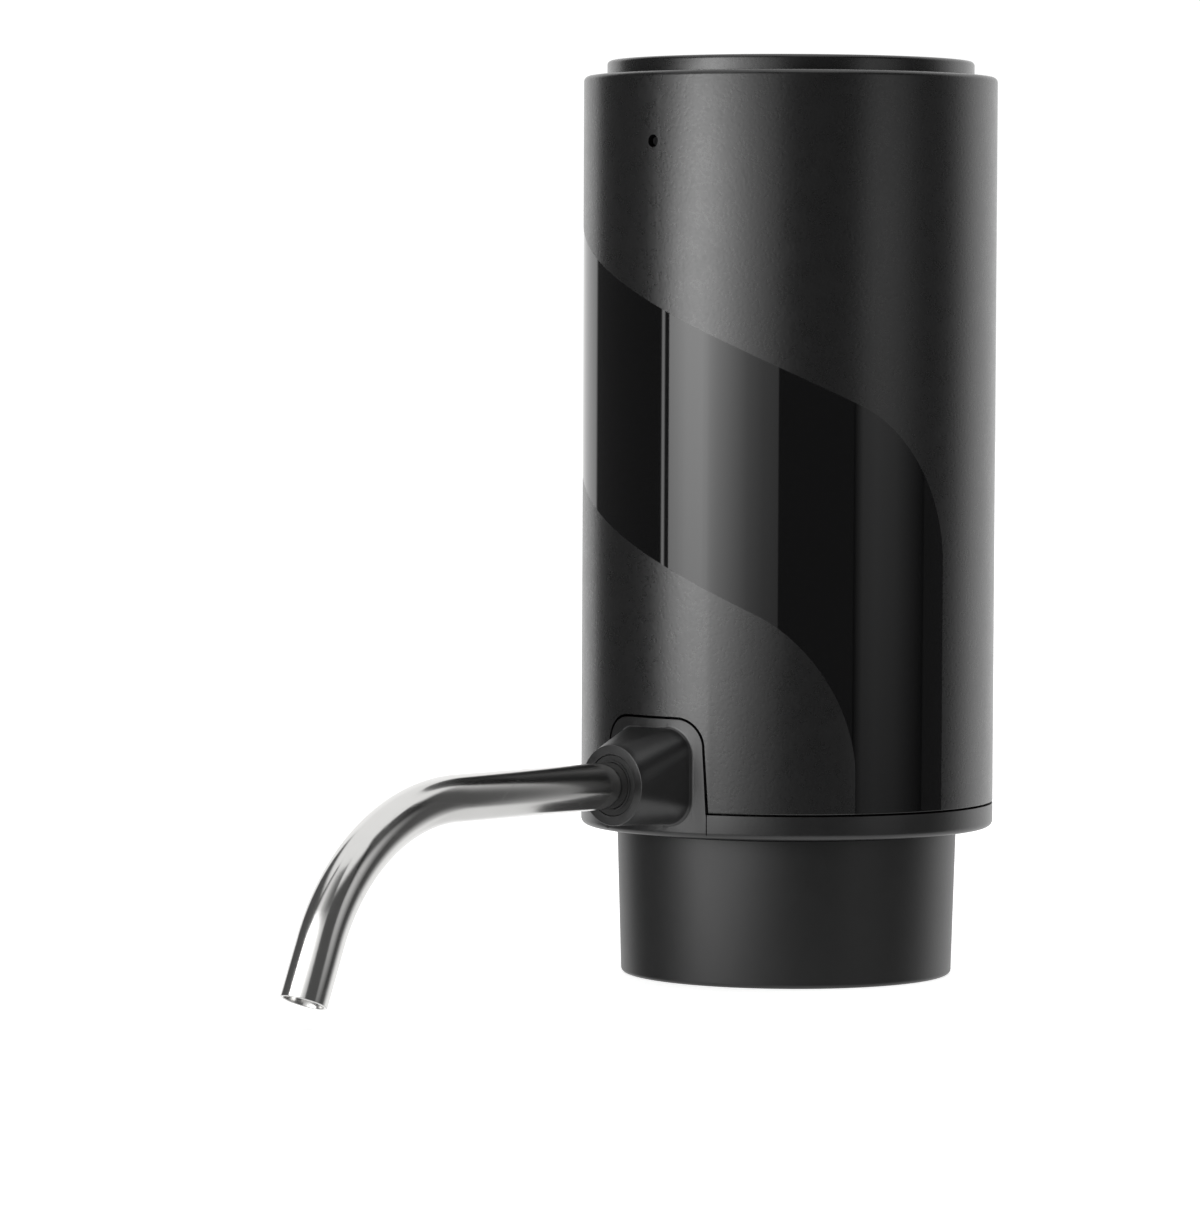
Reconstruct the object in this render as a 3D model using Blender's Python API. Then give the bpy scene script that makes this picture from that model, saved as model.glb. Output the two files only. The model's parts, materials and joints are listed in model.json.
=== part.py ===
"""Electric wine aerator and pourer for a bottle's neck, as an assembly of separate pieces.

+Z is up and the spout points along -Y. The origin is on the barrel's axis, in the plane of the collar's
mouth. Sizes are in metres. The housing is sized from the battery, the pump and the motor that it holds.
"""

import math

import bmesh
import bpy
from mathutils import Matrix, Vector

MM = 0.001

# General clearances and fineness
GAP = 0.3 * MM  # between pieces that seat on each other
CLOSE_GAP = 0.08 * MM  # between a shaft and what is pressed on it or turns on it
SINK = 0.2 * MM  # how far a joined shape reaches into its carrier
OVERRUN = 1.0 * MM  # how far a cut runs past a face
MERGE = 0.001 * MM
FLATNESS = 0.9999  # upright share of a flat face's normal
SMOOTH_ANGLE = math.radians(32)
BARREL_SIDES = 48
ROUND_SIDES = 20
SMALL_SIDES = 12
FINE_SIDES = 8
EDGE_STEPS = 2

# Neck collar
COLLAR_HEIGHT = 17.0 * MM
COLLAR_TAPER = 0.5 * MM
COLLAR_STEP = 4.25 * MM  # how far the barrel stands out over the collar
COLLAR_WALL = 2.2 * MM
COLLAR_ROOF = 1.8 * MM
COLLAR_EDGE = 0.8 * MM

# Collar screws, which clamp collar, base and chassis together
SCREW_RADIUS = 1.0 * MM
SCREW_HEAD_RADIUS = 1.8 * MM
SCREW_HEAD = 1.2 * MM
SCREW_RECESS = 0.8 * MM
SCREW_LENGTH = 9.0 * MM
COLLAR_SCREW_INSET = 2.45 * MM  # from the collar's bore to the screws' axes
COLLAR_SCREW_ANGLES = tuple(math.radians(a) for a in (90, 210, 330))

# Bottle stopper, a silicone plug with fins
STOPPER_CORE = 8.3 * MM
STOPPER_FIN = 9.5 * MM
STOPPER_FINS = 3
STOPPER_ROOT_STEP = 0.1 * MM  # how far the plug's root stands out beyond the fins
STOPPER_ROOT_HEIGHT = 0.4 * MM
STOPPER_PLUG = 7.8 * MM
STOPPER_CHAMFER = 0.6 * MM
STOPPER_FLANGE_INSET = 2.25 * MM  # from the collar's bore
STOPPER_FLANGE_DEPTH = 1.6 * MM
STOPPER_NECK = 9.3 * MM
STOPPER_BEAD = 10.6 * MM

# Inlet and air nipples
NIPPLE_RADIUS = 2.2 * MM
NIPPLE_BORE = 1.5 * MM
NIPPLE_BARB = 2.7 * MM
NIPPLE_REACH = 3.2 * MM
NIPPLE_BARBS = 2
AIR_NIPPLE_RADIUS = 1.3 * MM
AIR_NIPPLE_BORE = 0.8 * MM
AIR_NIPPLE_REACH = 1.0 * MM
LINE_ROOM = 1.3 * MM  # between the two nipples
NIPPLE_SEAT = 1.5 * MM  # how far the nipples end below the spout's axis

# Base with its plate and boss
DECK_THICKNESS = 2.0 * MM
BASE_BAND = 2.75 * MM
BASE_EDGE = 1.0 * MM
SPIGOT_WALL = 1.6 * MM
SPIGOT_HEIGHT = 5.9 * MM  # above the base's rim
SPOUT_HEIGHT = 6.15 * MM  # spout axis above the base's underside
PLATE_RISE = 7.6 * MM  # plate's top above the spout axis
PLATE_HALF_TOP = 7.15 * MM
PLATE_HALF_FOOT = 7.7 * MM
PLATE_CORNER = 3.0 * MM
BOSS_REACH = 6.5 * MM  # beyond the barrel
BOSS_END_RADIUS = 4.6 * MM
BOSS_ROOT_WIDTH = 5.6 * MM
BOSS_ROOT_HEIGHT = 5.4 * MM
BOSS_ROOT_CORNER = 2.4 * MM
BOSS_ROOT_LIFT = 0.8 * MM
BOSS_FILLET = 0.8 * MM
BOSS_END_EDGE = 0.5 * MM
SNAP_WIDTH = 6.0 * MM
SNAP_DEPTH = 0.35 * MM
SNAP_HEIGHT = 1.6 * MM
SNAP_ANGLES = tuple(math.radians(a) for a in (30, 150))

# Seam gasket
GASKET_WIDTH = 0.9 * MM
GASKET_HEIGHT = 1.0 * MM

# Spout and its seal
TUBE_RADIUS = 2.65 * MM
TUBE_WALL = 0.4 * MM
TUBE_STRAIGHT = 31.9 * MM  # from the barrel's surface to the bend
TUBE_BEND_RADIUS = 22.7 * MM
TUBE_BEND = math.radians(68)
TUBE_BEND_STEPS = 10
TUBE_TAIL = 6.9 * MM
TUBE_SIDES = 16
SEAL_WALL = 0.75 * MM
SEAL_RECESS = 0.4 * MM
SEAL_LENGTH = 9.6 * MM
SEAL_LIP = 0.35 * MM
TUBE_SEAT = 0.8 * MM  # how far the tube ends before the seal's inner end

# Mixing chamber
MANIFOLD_INSET = 2.6 * MM  # from the collar screws' axes to the foot's edge
MANIFOLD_FOOT_WIDTH = 3.7 * MM
MANIFOLD_FOOT = 1.6 * MM
MANIFOLD_TOP = 4.8 * MM  # above the spout axis
ARM_RADIUS = 3.2 * MM
WINE_BORE = 1.5 * MM
AIR_BORE = 0.8 * MM
JET_BORE = 0.5 * MM
JET_RISE = 0.7 * MM
TOWER_RADIUS = 4.4 * MM
TOWER_RISE = 1.1 * MM
VALVE_POCKET = 3.2 * MM
VALVE_FLANGE_DEPTH = 0.8 * MM
VALVE_BILL = 2.6 * MM
VALVE_BILL_RADIUS = 1.9 * MM
VALVE_LIP_RADIUS = 0.7 * MM
VALVE_BORE = 1.2 * MM
CAP_FLANGE_DEPTH = 1.2 * MM
BARB_RADIUS = 1.2 * MM
BARB_BORE = 0.6 * MM
BARB_LENGTH = 2.2 * MM

# Chassis
FLOOR_RISE = 2.25 * MM  # floor's underside above the manifold
FLOOR_THICKNESS = 1.5 * MM
FOOT_RADIUS = 2.3 * MM
WALL_THICKNESS = 1.1 * MM
WALL_INSET = 2.6 * MM  # from the chassis floor's edge
POST_RADIUS = 1.4 * MM
POST_HEIGHT = 10.7 * MM
POST_INSET = 4.6 * MM  # from the pump's edge to the posts' axes
CLAMP_RADIUS = 1.2 * MM
SHELF_THICKNESS = 2.0 * MM
CLIP_WALL = 0.9 * MM
CLIP_HEIGHT = 4.0 * MM
CLIP_SHARES = (0.22, 0.78)  # of the battery's length
CLIP_OPENING = 3.0 * MM  # the clips end this far behind the battery's axis
HEAD_ROOM = 2.0 * MM
TOP_DECK = 1.2 * MM
LEAD_HOLE = 7.4 * MM
LEAD_NOTCH = 2.2 * MM
PEG_RADIUS = 1.8 * MM
PEG_PIN = 0.8 * MM
PEG_TIP = 0.7 * MM
PEG_INSET = 3.2 * MM  # from the board's edge to the pegs' axes
PEG_ANGLES = tuple(math.radians(a) for a in (-50, 30, 150, 230))

# Battery
BATTERY_RADIUS = 7.0 * MM
BATTERY_LENGTH = 50.0 * MM
BATTERY_EDGE = 0.6 * MM
BATTERY_CROWN = 2.8 * MM
BATTERY_CROWN_HEIGHT = 1.0 * MM

# Diaphragm pump
PUMP_RADIUS = 12.5 * MM
PUMP_FRONT_ROOM = 2.2 * MM
COVER_THICKNESS = 3.5 * MM
COVER_FLOOR = 1.2 * MM
COVER_RIM = 1.6 * MM
COVER_RING_ROOM = 0.5 * MM  # around the outlet valve
COVER_RING_WALL = 0.8 * MM
COVER_NOTCH = 1.5 * MM
VALVE_PLATE = 2.2 * MM
PIVOT_RADIUS = 1.2 * MM
PIVOT_HEIGHT = 2.6 * MM
PORT_RADIUS = 0.4 * MM
OUTLET_VALVE_LAP = 0.8 * MM  # beyond its ports' axes
INTAKE_STEM_OFFSET = 0.6 * MM  # beyond the cup's axis
INTAKE_PORT_OFFSET = 1.3 * MM  # beyond the valve's stem
INTAKE_VALVE_RADIUS = 1.9 * MM
VALVE_SKIN = 0.35 * MM
VALVE_STEM = 0.35 * MM
VALVE_STEM_LENGTH = 1.2 * MM
STEM_HOLE_GAP = 0.1 * MM
DIAPHRAGM = 0.7 * MM
DIAPHRAGM_EYE = 1.8 * MM
CUP_SHARE = 0.304  # a cup's root, of the pump's radius
CUP_TAPER = 1.1 * MM
CUP_ROOM = 0.5 * MM  # between the cups and the crankcase
CUP_WALL = 0.6 * MM
CUP_STEM = 0.75 * MM
CUP_KNOB = 1.4 * MM
CUP_KNOB_HEIGHT = 0.9 * MM
CUP_NECK = 0.5 * MM
CUP_ANGLES = tuple(math.radians(a) for a in (-90, 30, 150))
PUMP_SCREW_ANGLES = tuple(math.radians(a) for a in (90, 210, 330))
CRANKCASE_WALL = 1.6 * MM
CRANKCASE_ROOF = 1.6 * MM
CRANKCASE_ROOM = 0.4 * MM  # between the eccentric and the roof
COLUMN_RADIUS = 1.9 * MM
PUMP_SCREW_RADIUS = 0.8 * MM
PUMP_SCREW_HEAD_RADIUS = 1.6 * MM
PUMP_SCREW_HEAD = 1.0 * MM
PUMP_SCREW_BITE = 5.0 * MM
VENT_RADIUS = 0.8 * MM

# Wobble drive
TILT = math.radians(5)
WOBBLE_RISE = 3.4 * MM  # plate's middle above the pivot
WOBBLE_THICKNESS = 1.4 * MM
WOBBLE_HUB = 3.0 * MM
WOBBLE_ARM_HALF = 2.2 * MM
WOBBLE_ARM_END = 2.0 * MM  # beyond the cup's stem
WOBBLE_EYE_GAP = 0.35 * MM
PIN_RADIUS = 0.6 * MM
PIN_ABOVE = 3.0 * MM  # above the plate's middle
ECCENTRIC_RADIUS = 3.1 * MM
ECCENTRIC_RISE = 1.4 * MM  # above the plate's middle
ECCENTRIC_LENGTH = 5.0 * MM
ECCENTRIC_WEB = 0.3 * MM

# Motor
MOTOR_STEP = 2.0 * MM  # how far the pump stands out over the motor
MOTOR_WALL = 0.8 * MM
MOTOR_LENGTH = 17.2 * MM
MOTOR_FRONT = 1.0 * MM
MOTOR_BOSS_RADIUS = 3.1 * MM
MOTOR_BOSS = 1.2 * MM
BEARING_RADIUS = 2.3 * MM
BEARING_LENGTH = 2.4 * MM
SHAFT_RADIUS = 0.75 * MM
CAP_PLUG = 1.5 * MM
CAP_FLANGE = 1.5 * MM
MAGNET_SHARE = 0.124  # a magnet's thickness, of the motor's radius
MAGNET_LENGTH = 11.0 * MM
MAGNET_SPREAD = math.radians(130)
MAGNET_STEPS = 10
MAGNET_RISE = 1.6 * MM
AIR_GAP = 0.5 * MM
CORE_LENGTH = 6.0 * MM
CORE_RISE = 3.6 * MM
CORE_HUB_SHARE = 0.342  # this and the next three are shares of the rotor's radius
POLE_SHARE = 0.145
POLE_TIP_SHARE = 0.158
WINDING_SHARE = 0.158
POLE_SPREAD = math.radians(92)
POLE_TIP_STEPS = 6
WINDING_RING_DEPTH = 0.8 * MM
COMMUTATOR_RADIUS = 2.3 * MM
COMMUTATOR_LENGTH = 2.2 * MM
COMMUTATOR_RISE = 2.4 * MM  # above the core
BRUSH_LENGTH = 2.2 * MM
BRUSH_HALF = 0.9 * MM
BRUSH_HEIGHT = 1.4 * MM
TERMINAL_THICKNESS = 0.4 * MM
TERMINAL_HALF_WIDTH = 1.0 * MM
TERMINAL_RISE = 3.0 * MM  # above the end cap

# Circuit board and what is on it
STANDOFF = 4.2 * MM
BOARD_INSET = 0.4 * MM  # from the chassis floor's edge
BOARD_THICKNESS = 1.2 * MM
SWITCH_HALF = 3.0 * MM
SWITCH_HEIGHT = 3.6 * MM
SWITCH_EDGE = 0.4 * MM
PLUNGER_RADIUS = 1.6 * MM
PLUNGER_LENGTH = 2.1 * MM
PLUNGER_PROUD = 0.6 * MM
LED_HALF_WIDTH = 0.8 * MM
LED_DEPTH = 1.0 * MM
LED_HEIGHT = 1.5 * MM
LED_RISE = 1.35 * MM  # light guide's axis above the board
USB_HALF_WIDTH = 4.47 * MM
USB_HEIGHT = 3.2 * MM
USB_DEPTH = 7.3 * MM
USB_WALL = 0.3 * MM
USB_BACK = 1.2 * MM
USB_SET_BACK = 1.0 * MM
USB_TONGUE_HALF = 3.3 * MM
USB_TONGUE = 0.7 * MM
USB_TONGUE_SHARE = 0.72  # of the room in front of the back wall
USB_CORNER_STEPS = 4

# Button
BUTTON_TRAVEL = 0.8 * MM
SWITCH_TRAVEL = 0.5 * MM
STEM_GAP = 0.35 * MM
STEM_RADIUS = 2.0 * MM
STEM_LENGTH = 4.45 * MM
BUTTON_TOP = 1.8 * MM
BUTTON_PROUD = 1.8 * MM
BUTTON_EDGE = 0.45 * MM
BUTTON_WALL = 1.4 * MM
BUTTON_SKIRT = 2.8 * MM
SPRING_RADIUS = 5.0 * MM
SPRING_WIRE = 0.3 * MM
SPRING_TURNS = 4
SPRING_STEPS = 8  # points a turn
SPRING_SIDES = 5
HOOK_HALF_WIDTH = 2.0 * MM
HOOK_THICKNESS = 1.1 * MM
HOOK_BARB = 0.7 * MM
HOOK_BARB_HEIGHT = 1.0 * MM
HOOK_ANGLES = tuple(math.radians(a) for a in (10, 130, 250))
STOP_GAP = 0.2 * MM

# Shell
SHELL_WALL = 2.4 * MM
RIM_EDGE = 1.0 * MM
LEDGE_WIDTH = 1.7 * MM
LEDGE_THICKNESS = 1.2 * MM
LIGHT_HOLE = 0.68 * MM
LIGHT_PIN = 0.48 * MM
LIGHT_FLANGE = 1.6 * MM
LIGHT_FLANGE_DEPTH = 0.8 * MM
LIGHT_RECESS = 0.5 * MM

# Leads
LEAD_RADIUS = 0.6 * MM
LEAD_SIDES = 6
LEAD_STEPS = 3  # points a stretch
HOSE_RADIUS = 2.2 * MM
HOSE_SIDES = 10

# Places across, worked out from what the barrel holds
BORE = (PUMP_FRONT_ROOM + 2 * PUMP_RADIUS + WALL_THICKNESS + 2 * BATTERY_RADIUS + 3 * GAP) / 2
BARREL_RADIUS = BORE + SHELL_WALL
BATTERY_Y = BORE - GAP - BATTERY_RADIUS
WALL_BACK = BATTERY_Y - BATTERY_RADIUS - GAP
WALL_FRONT = WALL_BACK - WALL_THICKNESS
PUMP_Y = WALL_FRONT - GAP - PUMP_RADIUS
AIR_OFFSET = WALL_BACK - HOSE_RADIUS  # of the air line, behind the barrel's axis
WINE_OFFSET = AIR_OFFSET - AIR_NIPPLE_RADIUS - LINE_ROOM - NIPPLE_RADIUS  # of the wine line
COLLAR_RADIUS = BARREL_RADIUS - COLLAR_STEP
COLLAR_BORE = COLLAR_RADIUS - COLLAR_WALL
COLLAR_SCREW_CIRCLE = COLLAR_BORE - COLLAR_SCREW_INSET
STOPPER_FLANGE = COLLAR_BORE - STOPPER_FLANGE_INSET
MANIFOLD_FOOT_RADIUS = COLLAR_SCREW_CIRCLE - MANIFOLD_INSET
MANIFOLD_RADIUS = MANIFOLD_FOOT_RADIUS - MANIFOLD_FOOT_WIDTH
SPIGOT_RADIUS = BORE - GAP
SPIGOT_BORE = SPIGOT_RADIUS - SPIGOT_WALL
INNER_RADIUS = SPIGOT_BORE - GAP
WALL_HALF_WIDTH = INNER_RADIUS - WALL_INSET
BOARD_RADIUS = INNER_RADIUS - BOARD_INSET
PEG_CIRCLE = BOARD_RADIUS - PEG_INSET
DECK_HOLE = STOPPER_BEAD + GAP
LEDGE_BORE = BORE - LEDGE_WIDTH
GASKET_BORE = BORE + GASKET_WIDTH + GAP
BOSS_END = BARREL_RADIUS + BOSS_REACH
SEAL_RADIUS = TUBE_RADIUS + CLOSE_GAP + SEAL_WALL
SEAL_OUTER_END = BOSS_END - SEAL_RECESS
SEAL_INNER_END = SEAL_OUTER_END - SEAL_LENGTH
COLUMN_CIRCLE = PUMP_RADIUS - GAP - COLUMN_RADIUS
CRANKCASE_BORE = PUMP_RADIUS - CRANKCASE_WALL
POST_CIRCLE = PUMP_RADIUS - POST_INSET
MOTOR_RADIUS = PUMP_RADIUS - MOTOR_STEP
MAGNET_THICKNESS = MOTOR_RADIUS * MAGNET_SHARE
ROTOR_RADIUS = MOTOR_RADIUS - MOTOR_WALL - GAP - MAGNET_THICKNESS - AIR_GAP
CORE_HUB = ROTOR_RADIUS * CORE_HUB_SHARE
POLE_HALF_WIDTH = ROTOR_RADIUS * POLE_SHARE
POLE_TIP_DEPTH = ROTOR_RADIUS * POLE_TIP_SHARE
WINDING_DEPTH = ROTOR_RADIUS * WINDING_SHARE
CUP_ROOT = PUMP_RADIUS * CUP_SHARE
CUP_CROWN = CUP_ROOT - CUP_TAPER
CUP_CIRCLE = CRANKCASE_BORE - CUP_ROOM - CUP_ROOT
OUTLET_CIRCLE = CUP_CIRCLE - CUP_ROOT + CUP_WALL + GAP
OUTLET_VALVE_RADIUS = OUTLET_CIRCLE + OUTLET_VALVE_LAP
COVER_RING = OUTLET_VALVE_RADIUS + COVER_RING_ROOM  # bore of the wall round the outlet chamber
INTAKE_CIRCLE = CUP_CIRCLE + INTAKE_STEM_OFFSET
INTAKE_HOLE_CIRCLE = INTAKE_CIRCLE + INTAKE_PORT_OFFSET

# Heights, worked out from the collar's mouth upwards
ROOF_UNDERSIDE = COLLAR_HEIGHT - COLLAR_ROOF
SCREW_HEAD_TOP = ROOF_UNDERSIDE - GAP
FLANGE_TOP = SCREW_HEAD_TOP - SCREW_HEAD - GAP
LIP_SEAT = FLANGE_TOP - STOPPER_FLANGE_DEPTH
STOPPER_BOTTOM = LIP_SEAT - STOPPER_PLUG
BASE_BOTTOM = COLLAR_HEIGHT + GAP
DECK_TOP = BASE_BOTTOM + DECK_THICKNESS
BASE_RIM = BASE_BOTTOM + BASE_BAND
SPIGOT_TOP = BASE_RIM + SPIGOT_HEIGHT
SHELL_BOTTOM = BASE_RIM + GAP
SPOUT_Z = BASE_BOTTOM + SPOUT_HEIGHT
PLATE_TOP = SPOUT_Z + PLATE_RISE
NIPPLE_TOP = SPOUT_Z - NIPPLE_SEAT
MANIFOLD_BOTTOM = DECK_TOP + GAP
MANIFOLD_CROWN = SPOUT_Z + MANIFOLD_TOP
TOWER_TOP = MANIFOLD_CROWN + TOWER_RISE
POCKET_FLOOR = TOWER_TOP - GAP - VALVE_FLANGE_DEPTH - VALVE_BILL - GAP
CAP_BOTTOM = TOWER_TOP + GAP
CAP_TOP = CAP_BOTTOM + CAP_FLANGE_DEPTH
FLOOR_BOTTOM = MANIFOLD_CROWN + FLOOR_RISE
FLOOR_TOP = FLOOR_BOTTOM + FLOOR_THICKNESS
POST_TOP = FLOOR_TOP + POST_HEIGHT
COVER_BOTTOM = POST_TOP + GAP
COVER_TOP = COVER_BOTTOM + COVER_THICKNESS
VALVE_PLATE_BOTTOM = COVER_TOP + GAP
VALVE_PLATE_TOP = VALVE_PLATE_BOTTOM + VALVE_PLATE
DIAPHRAGM_BOTTOM = VALVE_PLATE_TOP + GAP
DIAPHRAGM_TOP = DIAPHRAGM_BOTTOM + DIAPHRAGM
CRANKCASE_BOTTOM = DIAPHRAGM_TOP + GAP
PIVOT_Z = VALVE_PLATE_TOP + PIVOT_HEIGHT + GAP
WOBBLE_Z = PIVOT_Z + WOBBLE_RISE
ECCENTRIC_BOTTOM = WOBBLE_Z + ECCENTRIC_RISE
ECCENTRIC_TOP = ECCENTRIC_BOTTOM + ECCENTRIC_LENGTH
PIN_TOP = WOBBLE_Z + PIN_ABOVE
SHAFT_BOTTOM = PIN_TOP + GAP + ECCENTRIC_WEB + GAP
CRANKCASE_ROOF_Z = ECCENTRIC_TOP + CRANKCASE_ROOM
CRANKCASE_TOP = CRANKCASE_ROOF_Z + CRANKCASE_ROOF
MOTOR_BOTTOM = CRANKCASE_TOP + GAP
MOTOR_TOP = MOTOR_BOTTOM + MOTOR_LENGTH
END_CAP_BOTTOM = MOTOR_TOP - CAP_PLUG
END_CAP_TOP = MOTOR_TOP + GAP + CAP_FLANGE
REAR_BEARING_TOP = END_CAP_TOP - GAP
REAR_BEARING_BOTTOM = REAR_BEARING_TOP - BEARING_LENGTH
FRONT_BEARING_BOTTOM = MOTOR_BOTTOM - MOTOR_BOSS + GAP
SHAFT_TOP = REAR_BEARING_TOP
CORE_BOTTOM = MOTOR_BOTTOM + MOTOR_FRONT + CORE_RISE
CORE_TOP = CORE_BOTTOM + CORE_LENGTH
COMMUTATOR_BOTTOM = CORE_TOP + COMMUTATOR_RISE
COMMUTATOR_TOP = COMMUTATOR_BOTTOM + COMMUTATOR_LENGTH
TERMINAL_TOP = END_CAP_TOP + TERMINAL_RISE
BATTERY_BOTTOM = FLOOR_TOP + GAP
BATTERY_TOP = BATTERY_BOTTOM + BATTERY_LENGTH
TOP_DECK_BOTTOM = max(TERMINAL_TOP, BATTERY_TOP) + HEAD_ROOM
TOP_DECK_TOP = TOP_DECK_BOTTOM + TOP_DECK
PEG_SHOULDER = TOP_DECK_TOP + STANDOFF
BOARD_BOTTOM = PEG_SHOULDER + GAP
BOARD_TOP = BOARD_BOTTOM + BOARD_THICKNESS
SWITCH_BOTTOM = BOARD_TOP + GAP
SWITCH_TOP = SWITCH_BOTTOM + SWITCH_HEIGHT
PLUNGER_TOP = SWITCH_TOP + PLUNGER_PROUD
BUTTON_UNDERSIDE = PLUNGER_TOP + STEM_GAP + STEM_LENGTH
BUTTON_CROWN = BUTTON_UNDERSIDE + BUTTON_TOP
SKIRT_BOTTOM = BUTTON_UNDERSIDE - BUTTON_SKIRT
LEDGE_TOP = SKIRT_BOTTOM - BUTTON_TRAVEL - STOP_GAP
LEDGE_BOTTOM = LEDGE_TOP - LEDGE_THICKNESS
SHELL_TOP = BUTTON_CROWN - BUTTON_PROUD
LIGHT_Z = BOARD_TOP + LED_RISE
USB_TOP = BOARD_BOTTOM - GAP
USB_Z = USB_TOP - USB_HEIGHT / 2
USB_MOUTH = BARREL_RADIUS - USB_SET_BACK

FACING_FRONT = (math.radians(90), 0, 0)  # turns a piece's +Z to -Y

# Looks: colour, roughness and metallic value
BLACK_PLASTIC = ((0.012, 0.012, 0.013), 0.45, 0)
COLLAR_PLASTIC = ((0.018, 0.018, 0.019), 0.5, 0)
POLISHED_STEEL = ((0.72, 0.71, 0.69), 0.12, 1)
STEEL = ((0.45, 0.45, 0.46), 0.35, 1)
BRASS = ((0.75, 0.55, 0.25), 0.3, 1)
COPPER = ((0.6, 0.25, 0.1), 0.4, 1)
CARBON = ((0.03, 0.03, 0.03), 0.7, 0)
FERRITE = ((0.06, 0.06, 0.065), 0.6, 0)
DARK_SILICONE = ((0.02, 0.02, 0.02), 0.6, 0)
PALE_SILICONE = ((0.75, 0.75, 0.72), 0.5, 0)
INNER_PLASTIC = ((0.65, 0.66, 0.68), 0.5, 0)
CLEAR_PLASTIC = ((0.5, 0.5, 0.52), 0.2, 0)
LAMINATE = ((0.02, 0.16, 0.07), 0.4, 0)
BATTERY_WRAP = ((0.1, 0.25, 0.5), 0.4, 0)
RED_WIRE = ((0.5, 0.03, 0.02), 0.5, 0)
BLACK_WIRE = ((0.02, 0.02, 0.02), 0.5, 0)


def clear_scene():
    for thing in list(bpy.data.objects):
        bpy.data.objects.remove(thing, do_unlink=True)


def finish(name, colour, roughness, metallic):
    """A Principled material with one colour, roughness and metallic value."""
    material = bpy.data.materials.new(name)
    material.use_nodes = True
    shader = material.node_tree.nodes["Principled BSDF"]
    shader.inputs["Base Color"].default_value = (*colour, 1)
    shader.inputs["Roughness"].default_value = roughness
    shader.inputs["Metallic"].default_value = metallic
    return material


def piece_from(name, bm, look=None, parent=None, location=(0, 0, 0), rotation=(0, 0, 0)):
    """Closes a mesh, turns its faces outwards, shades it and puts it in the scene."""
    bmesh.ops.remove_doubles(bm, verts=bm.verts, dist=MERGE)
    bmesh.ops.recalc_face_normals(bm, faces=bm.faces)
    mesh = bpy.data.meshes.new(name)
    bm.to_mesh(mesh)
    bm.free()
    mesh.shade_smooth()
    mesh.set_sharp_from_angle(angle=SMOOTH_ANGLE)
    if look:
        mesh.materials.append(finish(name, *look))
    piece = bpy.data.objects.new(name, mesh)
    piece.location = location
    piece.rotation_euler = rotation
    piece.parent = parent
    bpy.context.scene.collection.objects.link(piece)
    return piece


def turned(name, outline, sides, *place, **named):
    """A solid turned about +Z from (radius, height) points.

    An outline that starts and ends on the axis makes a solid without a bore.
    """
    bm = bmesh.new()
    points = [bm.verts.new((radius, 0, height)) for radius, height in outline]
    edges = [bm.edges.new(pair) for pair in zip(points, points[1:])]
    if outline[0][0] or outline[-1][0]:
        edges.append(bm.edges.new((points[-1], points[0])))
    bmesh.ops.spin(
        bm, geom=points + edges, cent=(0, 0, 0), axis=(0, 0, 1), dvec=(0, 0, 0),
        angle=math.tau, steps=sides, use_merge=True, use_duplicate=False,
    )
    bmesh.ops.remove_doubles(bm, verts=bm.verts, dist=MERGE)
    # A flat end is one face, not a fan about the axis
    middles = [v for v in bm.verts if math.hypot(v.co.x, v.co.y) < MERGE]
    flat = [v for v in middles if all(abs(f.normal.z) > FLATNESS for f in v.link_faces)]
    bmesh.ops.dissolve_verts(bm, verts=flat)
    return piece_from(name, bm, *place, **named)


def rod(name, radius, low, high, sides, *place, **named):
    """A plain round rod along +Z."""
    outline = [(0, low), (radius, low), (radius, high), (0, high)]
    return turned(name, outline, sides, *place, **named)


def ring(name, bore, radius, low, high, sides, *place, **named):
    """A plain ring around +Z."""
    outline = [(bore, low), (radius, low), (radius, high), (bore, high)]
    return turned(name, outline, sides, *place, **named)


def prism(name, outline, low, high, *place, **named):
    """A flat outline in X and Y, pulled from one height to another."""
    bm = bmesh.new()
    face = bm.faces.new([bm.verts.new((x, y, low)) for x, y in outline])
    pulled = bmesh.ops.extrude_face_region(bm, geom=[face])
    risen = [item for item in pulled["geom"] if isinstance(item, bmesh.types.BMVert)]
    bmesh.ops.translate(bm, verts=risen, vec=(0, 0, high - low))
    return piece_from(name, bm, *place, **named)


def block(name, low, high, *place, **named):
    """A box from its lowest to its highest corner."""
    outline = [(low[0], low[1]), (high[0], low[1]), (high[0], high[1]), (low[0], high[1])]
    return prism(name, outline, low[2], high[2], *place, **named)


def lofted(name, loops, *place, **named):
    """A solid through a row of closed loops with as many points each."""
    bm = bmesh.new()
    rows = [[bm.verts.new(point) for point in loop] for loop in loops]
    for row, after in zip(rows, rows[1:]):
        for i in range(len(row)):
            j = (i + 1) % len(row)
            bm.faces.new((row[i], row[j], after[j], after[i]))
    bm.faces.new(rows[0])
    bm.faces.new(rows[-1])
    return piece_from(name, bm, *place, **named)


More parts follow.
